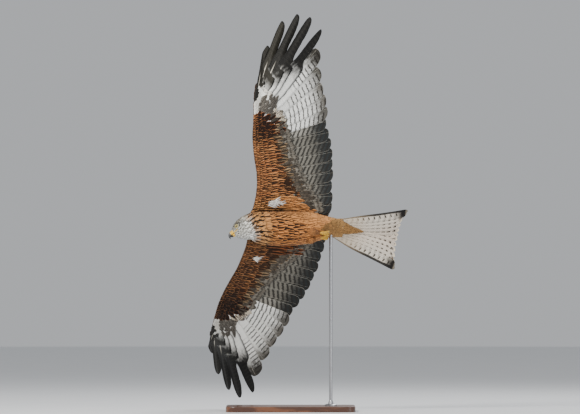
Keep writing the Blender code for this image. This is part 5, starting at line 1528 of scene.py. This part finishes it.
def look_body(s, th, rnd):
    """Colours of a body feather by its place: pale streaked head, streaked breast, plain belly, brown back."""
    n = len(s)
    th = (th + 180.0) % 360.0 - 180.0
    up = smooth(8.0, 42.0, 90.0 - np.abs(th - 90.0))            # 0 below, 1 on the back
    head = smooth(0.338, 0.360, s + 0.010 * (rnd - 0.5))
    fine = smooth(0.346, 0.366, s)
    neck = smooth(0.275, 0.340, s)
    belly = smooth(0.205, 0.110, s)
    vent = smooth(0.085, 0.035, s)
    flank = smooth(-58.0, -10.0, th) * smooth(60.0, 10.0, th)
    cA = c_mix(srgb(192, 122, 64), srgb(214, 144, 82), belly)
    cA = c_mix(cA, srgb(184, 132, 76), vent)
    cA = c_mix(cA, srgb(216, 152, 92), flank * 0.6)
    tan = smooth(0.078, 0.034, s)
    cA = c_mix(cA, srgb(160, 120, 72), tan)
    cA = c_mix(cA, srgb(190, 142, 94), neck * 0.75)
    cE = c_mix(srgb(240, 190, 130), srgb(226, 164, 104), belly)
    cE = c_mix(cE, srgb(230, 196, 148), neck * 0.85)
    cE = c_mix(cE, srgb(190, 150, 98), tan)
    cS = c_mix(srgb(13, 9, 7), srgb(74, 40, 20), belly)
    k_s = (0.97 - 0.30 * belly) * (1 - 0.75 * vent) * (1 - 0.30 * flank * smooth(0.25, 0.18, s))
    sw = (0.0024 + 0.0030 * rnd) * (1 - 0.50 * belly) * (1 - 0.46 * neck)
    # long dark lines down the neck, with pale feathers between
    line = np.sin(np.radians(th) * 19.0 + 1.0 * np.sin(s * 62.0 + 1.3) + 0.5 * np.sin(s * 171.0 + 0.05 * th))
    line = smooth(-0.10, 0.45, line + 0.25 * (rnd - 0.5))
    nk = smooth(0.262, 0.322, s)
    sw = sw * (1 - nk) + (0.0006 + (0.0030 - 0.0012 * smooth(0.338, 0.362, s)) * line) * nk
    k_s = k_s * (1 - nk) + (0.30 + 0.67 * line) * nk
    cA = c_mix(cA, c_mix(srgb(192, 138, 84), srgb(108, 74, 44), line), nk * 0.9)
    # back
    bA, bE, bS = srgb(82, 56, 40), srgb(166, 112, 70), srgb(26, 19, 15)
    bA = c_mix(bA, srgb(138, 98, 66), neck)
    cA, cE, cS = c_mix(cA, bA, up), c_mix(cE, bE, up), c_mix(cS, bS, up)
    k_s = k_s * (1 - up) + 0.75 * up
    ek = 0.40 * (1 - up) + 0.70 * up
    # head
    tone = head_tone(s, th)
    hA = c_mix(srgb(234, 232, 222), srgb(200, 192, 172), up)
    hA = c_mix(hA, srgb(240, 238, 226), smooth(0.388, 0.398, s))
    hA = c_mix(hA, srgb(244, 243, 238), smooth(-30, -75, th) * 0.8)
    dark = np.clip(0.15 + 0.28 * up + tone * (0.62 + 0.08 * up) - 0.16 * smooth(-30, -75, th), 0, 0.90)
    hA = c_mix(hA, srgb(92, 83, 66), dark)
    # dark feathers round the eye, with painted shade under the brow above it
    ring = eye_ring_and_brow_shade(s, th) * smooth(0.350, 0.358, s)
    hA = c_mix(hA, srgb(56, 49, 38), ring * 0.95)
    cA = c_mix(cA, hA, head)
    cE = c_mix(cE, c_mix(hA * 1.15, srgb(246, 244, 236), 0.5 * (1 - ring)), head)
    cS = c_mix(cS, srgb(40, 34, 27), head)
    sw = sw * (1 - fine) + (0.00055 + 0.0004 * rnd) * fine
    k_s = k_s * (1 - fine) + np.clip(0.45 + 0.35 * tone + 0.3 * up, 0.05, 0.95) * fine
    vary = (0.84 + 0.32 * RNG.random(n) - 0.10 * fine * (tone > 0.1))[:, None]
    one = np.ones(n)
    return dict(cA=cA * vary, cB=cA * vary * 1.08, cS=cS, cE=cE, p1=stack3(0.5 * one, 0.4, sw), p2=stack3(0.01 * one, 0.0, 0.22),
                p3=stack3(-1.2 * one, 1.2, 0.0), p4=stack3(ek, np.clip(k_s, 0, 0.97), 0.10))


def body_uv(s, th):
    t = (np.asarray(th, float) + 180.0) % 360.0
    return np.stack([0.02 + 0.96 * t / 360.0, 0.02 + 0.96 * np.clip(np.asarray(s, float) / 0.405, 0, 1)], -1)


BT = Template(8, 4)
HT = Template(4, 2)
HT2 = Template(4, 4)


def body_coats():
    out = []
    # underside of the trunk
    c = Coat("coat_breast_belly", M_COAT)
    s, th = rows_on(body_ev, 0.012, 0.330, lambda q: float(np.interp(q, [0.02, 0.2, 0.29, 0.33], [0.0170, 0.0200, 0.0180, 0.0130])), lambda q: float(np.interp(q, [0.02, 0.2, 0.29, 0.33], [0.0105, 0.0116, 0.0106, 0.0084])), -205.0, 26.0, jitter=0.22)
    big = smooth(0.335, 0.26, s)
    L = (0.026 + 0.012 * big) * RNG.uniform(0.88, 1.15, len(s))
    coat_on(c, CTL, body_ev, s, th, L, 0.0116 + 0.0052 * big, look_body, turn=RNG.normal(0, 6.0, len(s)), h0=-0.0032, h1=0.0010 + 0.0016 * RNG.random(len(s)), uvc=body_uv(s, th))
    out.append(c.make())
    c = Coat("coat_back", M_COAT)
    s, th = rows_on(body_ev, 0.004, 0.322, 0.0105, 0.0125, 14.0, 166.0)
    L = 0.034 * RNG.uniform(0.9, 1.12, len(s))
    coat_on(c, BT, body_ev, s, th, L, 0.0185, look_body, turn=RNG.normal(0, 4.0, len(s)), h0=-0.0028, h1=0.0014, uvc=body_uv(s, th))
    out.append(c.make())
    # neck
    c = Coat("coat_neck", M_COAT)
    s, th = rows_on(body_ev, 0.318, 0.363, 0.0080, 0.0056, -180.0, 180.0)
    L = np.interp(s, [0.318, 0.360], [0.0310, 0.0170]) * RNG.uniform(0.9, 1.15, len(s))
    coat_on(c, Template(7, 4), body_ev, s, th, L, np.interp(s, [0.318, 0.360], [0.0082, 0.0060]), look_body, shape=shape_lance, turn=RNG.normal(0, 6.0, len(s)), h0=-0.0024, h1=0.0012 + 0.0010 * RNG.random(len(s)), uvc=body_uv(s, th))
    out.append(c.make())
    # head: shorter and finer towards the bill, none on the lids
    c = Coat("coat_head", M_COAT)
    gap = lambda q: float(np.interp(q, [0.350, 0.372, 0.401], [0.0034, 0.0025, 0.0016]))
    s, th = rows_on(body_ev, 0.3495, 0.4015, gap, gap, -180.0, 180.0)
    L = np.interp(s, [0.350, 0.372, 0.387, 0.401], [0.0108, 0.0074, 0.0050, 0.0034]) * RNG.uniform(0.85, 1.15, len(s))
    W = np.interp(s, [0.350, 0.372, 0.387, 0.401], [0.0044, 0.0033, 0.0025, 0.0019])
    eyes = [head_pt(0.0105, q * 0.0200, 0.0054) for q in (1, -1)]
    axes = [EYE_AXIS[1], EYE_AXIS[-1]]

    def keep(P):
        ok = np.ones(len(P), bool)
        for e, ax in zip(eyes, axes):
            d = P - e
            along = d @ ax
            r = np.sqrt(np.clip((d ** 2).sum(-1) - along ** 2, 0, None))
            ok &= ~((r < 0.0070) & (along > 0)).any(1)
        return ok
    coat_on(c, HT, body_ev, s, th, L, W, look_body, turn=RNG.normal(0, 7.0, len(s)), h0=-0.0013, h1=0.0004 + 0.0004 * RNG.random(len(s)), thick=0.0002, uvc=body_uv(s, th), keep=keep, step=0.0005)
    out.append(c.make())
    # thighs
    c = Coat("coat_thighs", M_COAT)

    def look_leg(s, th, rnd):
        f = look_body(np.full(len(s), 0.10), np.full(len(s), -90.0), rnd)
        f["cA"] = f["cA"] * 1.04
        return f
    for side in (1, -1):
        ev = leg_ev(side)
        s, th = rows_on(ev, 0.06, 0.93, 0.0062, 0.0068, 40.0, 320.0, step=0.01)
        L = np.interp(s, [0.0, 0.8, 1.0], [0.022, 0.016, 0.010]) * RNG.uniform(0.9, 1.1, len(s))
        uv = np.stack([0.05 + 0.9 * th / 360.0, (0.04 if side > 0 else 0.54) + 0.42 * s], -1)
        coat_on(c, Template(5, 2), ev, s, th, L, 0.0080, look_leg, sign=1.0, xs=-1.0, turn=RNG.normal(0, 6.0, len(s)), h0=-0.0018, h1=0.0012, uvc=uv, step=0.01)
        if side < 0:
            # the far foot is tucked into the thigh feathers
            s, th = rows_on(ev, 0.62, 1.02, 0.0080, 0.0070, 60.0, 330.0, step=0.01)
            uv = np.stack([0.05 + 0.9 * th / 360.0, 0.54 + 0.42 * np.clip(s, 0, 1)], -1)
            coat_on(c, BT, ev, s, th, 0.036 * RNG.uniform(0.9, 1.1, len(s)), 0.0110, look_leg, sign=1.0, xs=-1.0, turn=RNG.normal(0, 5.0, len(s)), h0=-0.0010, h1=0.0042, uvc=uv, step=0.01)
    out.append(c.make())
    return out


# ================================================================ the skin under the coat
def shell(rings, closed_ends=True):
    """Vertices and faces of a loft over rings."""
    n = len(rings[0])
    V = np.concatenate(rings)
    F = []
    for i in range(len(rings) - 1):
        for j in range(n):
            k = (j + 1) % n
            F.append((i * n + j, i * n + k, (i + 1) * n + k, (i + 1) * n + j))
    if closed_ends:
        F.append(tuple(range(n))[::-1])
        F.append(tuple((len(rings) - 1) * n + j for j in range(n)))
    return V, F


def skin_parts():
    parts = []
    th = np.linspace(0, 360, 64, endpoint=False)
    rings = []
    for s in np.concatenate([np.linspace(0.001, 0.35, 80), np.linspace(0.353, 0.4020, 42)]):
        depth = 0.0032 - 0.0017 * float(smooth(0.32, 0.36, s))
        rings.append(body_ev(np.full(64, s), th, -depth))
    parts.append(shell(rings))
    for side in (1, -1):
        rings = []
        cs = np.concatenate([np.linspace(0.02, 0.10, 5), np.linspace(0.14, 0.44, 9)])
        for y in np.linspace(0.020, 0.500, 90):
            le, te = float(LEAD_X(y)), float(TRAIL_X(max(y, 0.03)))
            cmax = 1.0 - 0.30 * float(smooth(0.36, 0.50, y))
            x = le - cs * cmax * (le - te)
            yy = np.full(len(x), y)
            m = wing_mid(x, yy)
            d = 0.0024 - 0.0008 * float(smooth(0.3, 0.45, y))
            up = m + np.maximum(flesh_up(x, yy) - d, 0.0013)
            dn = m - np.maximum(flesh_down(x, yy) - d, 0.0013)
            top = wing_pt(x, yy, up, side)
            bot = wing_pt(x, yy, dn, side)
            ring = np.concatenate([top, bot[::-1]])
            rings.append(ring if side > 0 else ring[::-1])
        parts.append(shell(rings))
        ev = leg_ev(side)
        tt = np.linspace(0, 360, 24, endpoint=False)
        parts.append(shell([ev(np.full(24, v), tt, -0.0022) for v in np.linspace(-0.05, 0.99, 14)]))
    # the flesh that carries the tail
    rings = []
    for k in np.linspace(0.0, 0.34, 12):
        x = TAIL_ROOT[0] + 0.004 - 0.25 * k
        half = 0.86 * float(np.interp(x, [-0.292, -0.281, -0.260, -0.236, -0.195, -0.11], [0.0005, 0.003, 0.0125, 0.0175, 0.0235, 0.0300]))
        yq = float(np.interp(x, [-0.300, -0.281, -0.236, -0.195, -0.11], [-0.0170, -0.0150, -0.0035, -0.0018, 0.0])) + half * np.cos(np.linspace(0, TAU, 32, endpoint=False))
        sn = np.sin(np.linspace(0, TAU, 32, endpoint=False))
        m = tail_z(x, yq)
        t = np.maximum((0.0105 * (1 - 2.3 * k) - 0.0020), 0.0014)
        rings.append(np.stack([np.full(32, x), yq, m + t * sn], -1))
    parts.append(shell(rings))
    return parts


def skin_color(P, N):
    """The coat's markings, in plain form, for the skin under it."""
    x, y, z = P[:, 0], P[:, 1], P[:, 2]
    ay = np.abs(y)
    s = np.clip(x + 0.195, 0, 0.306)
    d = (P - HEAD_MID) @ HEAD_F
    hd = smooth(-0.045, -0.018, d) * (ay < 0.10)
    th = np.degrees(np.arctan2(z + 0.017, y))
    look = look_body(np.where(hd > 0.01, np.clip(0.372 + d, 0.306, 0.402), s), th, np.full(len(x), 0.5))
    c = look["cA"] * 0.75
    wing = smooth(0.055, 0.075, ay)
    under = N[:, 2] < 0
    le = LEAD_X(ay)
    ruf = smooth(-0.01, 0.01, x - RUF_EDGE(ay)) * smooth(0.425, 0.405, ay)
    wu = c_mix(c_mix(srgb(110, 106, 100), WHITE, smooth(0.40, 0.43, ay)), srgb(112, 60, 30), ruf)
    wt = c_mix(srgb(66, 48, 35), srgb(120, 74, 44), smooth(0.09, 0.04, le - x))
    wt = c_mix(wt, srgb(56, 43, 34), smooth(0.350, 0.390, ay))
    w = np.where(under[:, None], wu, wt)
    return c_mix(c, w, wing)


def skin_material():
    g = Graph("skin")
    _, paint = g.attr("paint")
    o = g.obj()
    n = g.noise(o, 900.0, 3.0, 0.6)
    n2 = g.noise(o, 140.0, 3.0, 0.6)
    col = g.mix(g.m("MULTIPLY", n2, 0.5), paint, srgb(90, 70, 58), "MULTIPLY")
    g.put(g.bsdf.inputs["Base Color"], col)
    g.bsdf.inputs["Roughness"].default_value = 0.75
    g.bsdf.inputs["Specular IOR Level"].default_value = 0.25
    g.bump(n, 0.0003, 0.6)
    return g.mat


def bare_material(name="bare_skin", rough=0.42, sub=0.12):
    """Painted bare skin: lids, cere, gape and feet."""
    g = Graph(name)
    _, paint = g.attr("paint")
    o = g.obj()
    n = g.noise(o, 1500.0, 4.0, 0.6)
    n2 = g.noise(o, 320.0, 3.0, 0.6)
    col = g.mix(g.m("MULTIPLY", g.step(0.45, 0.75, n2), 0.35), paint, srgb(150, 110, 60), "MULTIPLY")
    g.put(g.bsdf.inputs["Base Color"], col)
    g.put(g.bsdf.inputs["Roughness"], g.m("ADD", rough, g.m("MULTIPLY", n, 0.12)))
    g.bsdf.inputs["Subsurface Weight"].default_value = sub
    g.bsdf.inputs["Subsurface Radius"].default_value = (0.0015, 0.0008, 0.0004)
    g.bump(g.m("ADD", n, g.m("MULTIPLY", n2, 0.6)), 0.0002, 0.6)
    return g.mat


def paint_attr(me, cols):
    at = me.attributes.new("paint", "FLOAT_COLOR", "POINT")
    c = np.concatenate([np.asarray(cols, float), np.ones((len(cols), 1))], 1)
    at.data.foreach_set("color", c.astype(np.float32).ravel())


def world_to_bird(P):
    return (np.asarray(P) - np.array(BIRD_AT)) @ BIRD_ROT


def make_skin():
    verts, faces, base = [], [], 0
    for V, F in skin_parts():
        verts.append(V)
        faces += [tuple(i + base for i in f) for f in F]
        base += len(V)
    ob = plain_mesh("skin_raw", np.concatenate(verts), faces, skin_material(), smooth=False)
    m = ob.modifiers.new("one", "REMESH")
    m.mode = "VOXEL"
    m.voxel_size = 0.0019
    m.adaptivity = 0.0
    sm = ob.modifiers.new("soft", "SMOOTH")
    sm.iterations = 2
    sm.factor = 0.5
    dg = bpy.context.evaluated_depsgraph_get()
    me = bpy.data.meshes.new_from_object(ob.evaluated_get(dg))
    bpy.data.objects.remove(ob, do_unlink=True)
    me.name = "skin"
    n = len(me.vertices)
    co = np.empty(n * 3, np.float32)
    me.vertices.foreach_get("co", co)
    no = np.empty(n * 3, np.float32)
    me.vertices.foreach_get("normal", no)
    P = world_to_bird(co.reshape(-1, 3))
    N = no.reshape(-1, 3) @ BIRD_ROT
    cols = skin_color(P, N)
    # lids and gape join the skin later, with their own material
    body = bpy.data.objects.new("skin", me)
    bpy.context.scene.collection.objects.link(body)
    paint_attr(me, cols)
    me.polygons.foreach_set("use_smooth", [True] * len(me.polygons))
    me.materials.clear()
    me.materials.append(bpy.data.materials["skin"])
    print("skin tris", len(me.polygons) * 2)
    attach(body, "root")
    return body


def skin_uv(ob):
    me = ob.data
    lay = me.uv_layers.new(name="OFBake") if "OFBake" not in me.uv_layers else me.uv_layers["OFBake"]
    nv, nl = len(me.vertices), len(me.loops)
    co = np.empty(nv * 3, np.float32)
    me.vertices.foreach_get("co", co)
    P = world_to_bird(co.reshape(-1, 3))
    vi = np.empty(nl, np.int32)
    me.loops.foreach_get("vertex_index", vi)
    tot = np.empty(len(me.polygons), np.int32)
    me.polygons.foreach_get("loop_total", tot)
    fn = np.empty(len(me.polygons) * 3, np.float32)
    me.polygons.foreach_get("normal", fn)
    up = np.repeat((fn.reshape(-1, 3) @ BIRD_ROT)[:, 2] > 0, tot)
    q = P[vi]
    u = 0.01 + 0.98 * (q[:, 1] + 0.52) / 1.04
    v = 0.01 + 0.48 * (q[:, 0] + 0.30) / 0.55 + np.where(up, 0.5, 0.0)
    lay.data.foreach_set("uv", np.clip(np.stack([u, v], -1), 0.001, 0.999).astype(np.float32).ravel())

# ================================================================ making the pieces
PRIM = ["primary_%s_%d" % (w, k) for w in ("left", "right") for k in range(6, 11)]
fl = flight_coats()
flight_paint()
for i, w in enumerate(("left", "right")):
    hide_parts(*[p for p in PRIM if w in p])
    for ob in (under_coverts(1 if i == 0 else -1, w), upper_coverts(1 if i == 0 else -1, w)):
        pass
tail_ob = tail_coat()
tail_paint()
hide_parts("tail")
tail_base_coat()
for ob in body_coats():
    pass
skin = make_skin()
extra = join_meshes("lids_and_gape", [lids(1), lids(-1), gape(1), gape(-1)], bare_material("lid_skin"))
bpy.ops.object.select_all(action="DESELECT")
skin.select_set(True)
extra.select_set(True)
bpy.context.view_layer.objects.active = skin
bpy.ops.object.join()
skin_uv(skin)
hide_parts("head", "neck", "trunk", "wing_left_arm", "wing_right_arm", "wing_left_hand", "wing_right_hand", "leg_left", "leg_right")
make_eyes()
make_bill()
make_feet()

# ================================================================ stand, floor, light and camera
def wood_material():
    g = Graph("stand_wood")
    o = g.obj()
    x, y, z = g.xyz(o)
    warp = g.noise(g.join(g.m("MULTIPLY", x, 3.0), g.m("MULTIPLY", y, 14.0), g.m("MULTIPLY", z, 14.0)), 1.0, 4.0, 0.55)
    rings = g.m("SINE", g.m("MULTIPLY", g.m("ADD", g.m("MULTIPLY", y, 30.0), g.m("MULTIPLY", warp, 5.0)), TAU))
    pores = g.noise(g.join(g.m("MULTIPLY", x, 18.0), g.m("MULTIPLY", y, 600.0), g.m("MULTIPLY", z, 600.0)), 1.0, 2.0, 0.6)
    base = g.mix(g.step(-1.0, 1.0, rings), srgb(74, 42, 24), srgb(112, 68, 40))
    base = g.mix(g.step(0.56, 0.72, pores), base, srgb(44, 24, 14))
    g.put(g.bsdf.inputs["Base Color"], base)
    g.bsdf.inputs["Roughness"].default_value = 0.38
    g.bsdf.inputs["Coat Weight"].default_value = 0.35
    g.bsdf.inputs["Coat Roughness"].default_value = 0.18
    g.bump(g.m("ADD", g.m("MULTIPLY", rings, 0.2), pores), 0.0002, 0.4)
    return g.mat


def steel_material():
    g = Graph("rod_steel")
    x, y, z = g.xyz(g.obj())
    lines = g.noise(g.join(g.m("MULTIPLY", x, 40.0), g.m("MULTIPLY", y, 40.0), g.m("MULTIPLY", z, 2600.0)), 1.0, 3.0, 0.6)
    g.put(g.bsdf.inputs["Base Color"], g.mix(lines, srgb(150, 150, 152), srgb(196, 196, 198)))
    g.bsdf.inputs["Metallic"].default_value = 1.0
    g.put(g.bsdf.inputs["Roughness"], g.m("ADD", 0.24, g.m("MULTIPLY", lines, 0.16)))
    g.bump(lines, 0.00008, 0.5)
    return g.mat


def stage():
    for node, mat in (("stand_base", wood_material()), ("stand_rod", steel_material())):
        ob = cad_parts[node]
        for slot in ob.material_slots:
            slot.material = mat
    # pale floor
    g = Graph("floor_paper")
    n = g.noise(g.obj(), 6.0, 3.0)
    g.put(g.bsdf.inputs["Base Color"], g.mix(n, srgb(222, 224, 226), srgb(230, 231, 232)))
    g.bsdf.inputs["Roughness"].default_value = 0.9
    r = [(14.0 * math.cos(a), 14.0 * math.sin(a), 0.0) for a in np.linspace(0, TAU, 96, endpoint=False)]
    floor = plain_mesh("floor", r, [tuple(range(96))], g.mat, world=False)

    def area(name, at, look, size, power, color=(1, 1, 1)):
        l = bpy.data.lights.new(name, "AREA")
        l.shape = "DISK"
        l.size = size
        l.energy = power
        l.color = color
        ob = bpy.data.objects.new(name, l)
        bpy.context.scene.collection.objects.link(ob)
        ob.location = at
        ob.rotation_euler = (Vector(look) - Vector(at)).to_track_quat("-Z", "Y").to_euler()

    mid = (0.0, 0.0, 0.72)
    area("key", (-2.2, -3.2, 3.4), mid, 1.4, 240.0, (1.0, 0.975, 0.94))
    area("fill", (2.8, -3.4, 1.2), mid, 2.6, 60.0, (0.94, 0.97, 1.0))
    area("back", (1.5, 2.2, 3.2), mid, 1.8, 70.0)
    w = bpy.data.worlds.new("studio")
    bpy.context.scene.world = w
    w.use_nodes = True
    w.node_tree.nodes["Background"].inputs[0].default_value = (0.94, 0.965, 1.0, 1.0)
    w.node_tree.nodes["Background"].inputs[1].default_value = 0.50
    scale, dist = 0.00355, 30.0
    cam = bpy.data.cameras.new("camera")
    cam.sensor_width = 36.0
    cam.lens = 36.0 * dist / (580.0 * scale)
    cam.clip_end = 120.0
    ob = bpy.data.objects.new("camera", cam)
    bpy.context.scene.collection.objects.link(ob)
    ob.location = (BIRD_AT[0] + 5 * scale, BIRD_AT[1] - dist, BIRD_AT[2] + 19 * scale)
    ob.rotation_euler = (math.pi / 2, 0.0, 0.0)
    bpy.context.scene.camera = ob


stage()
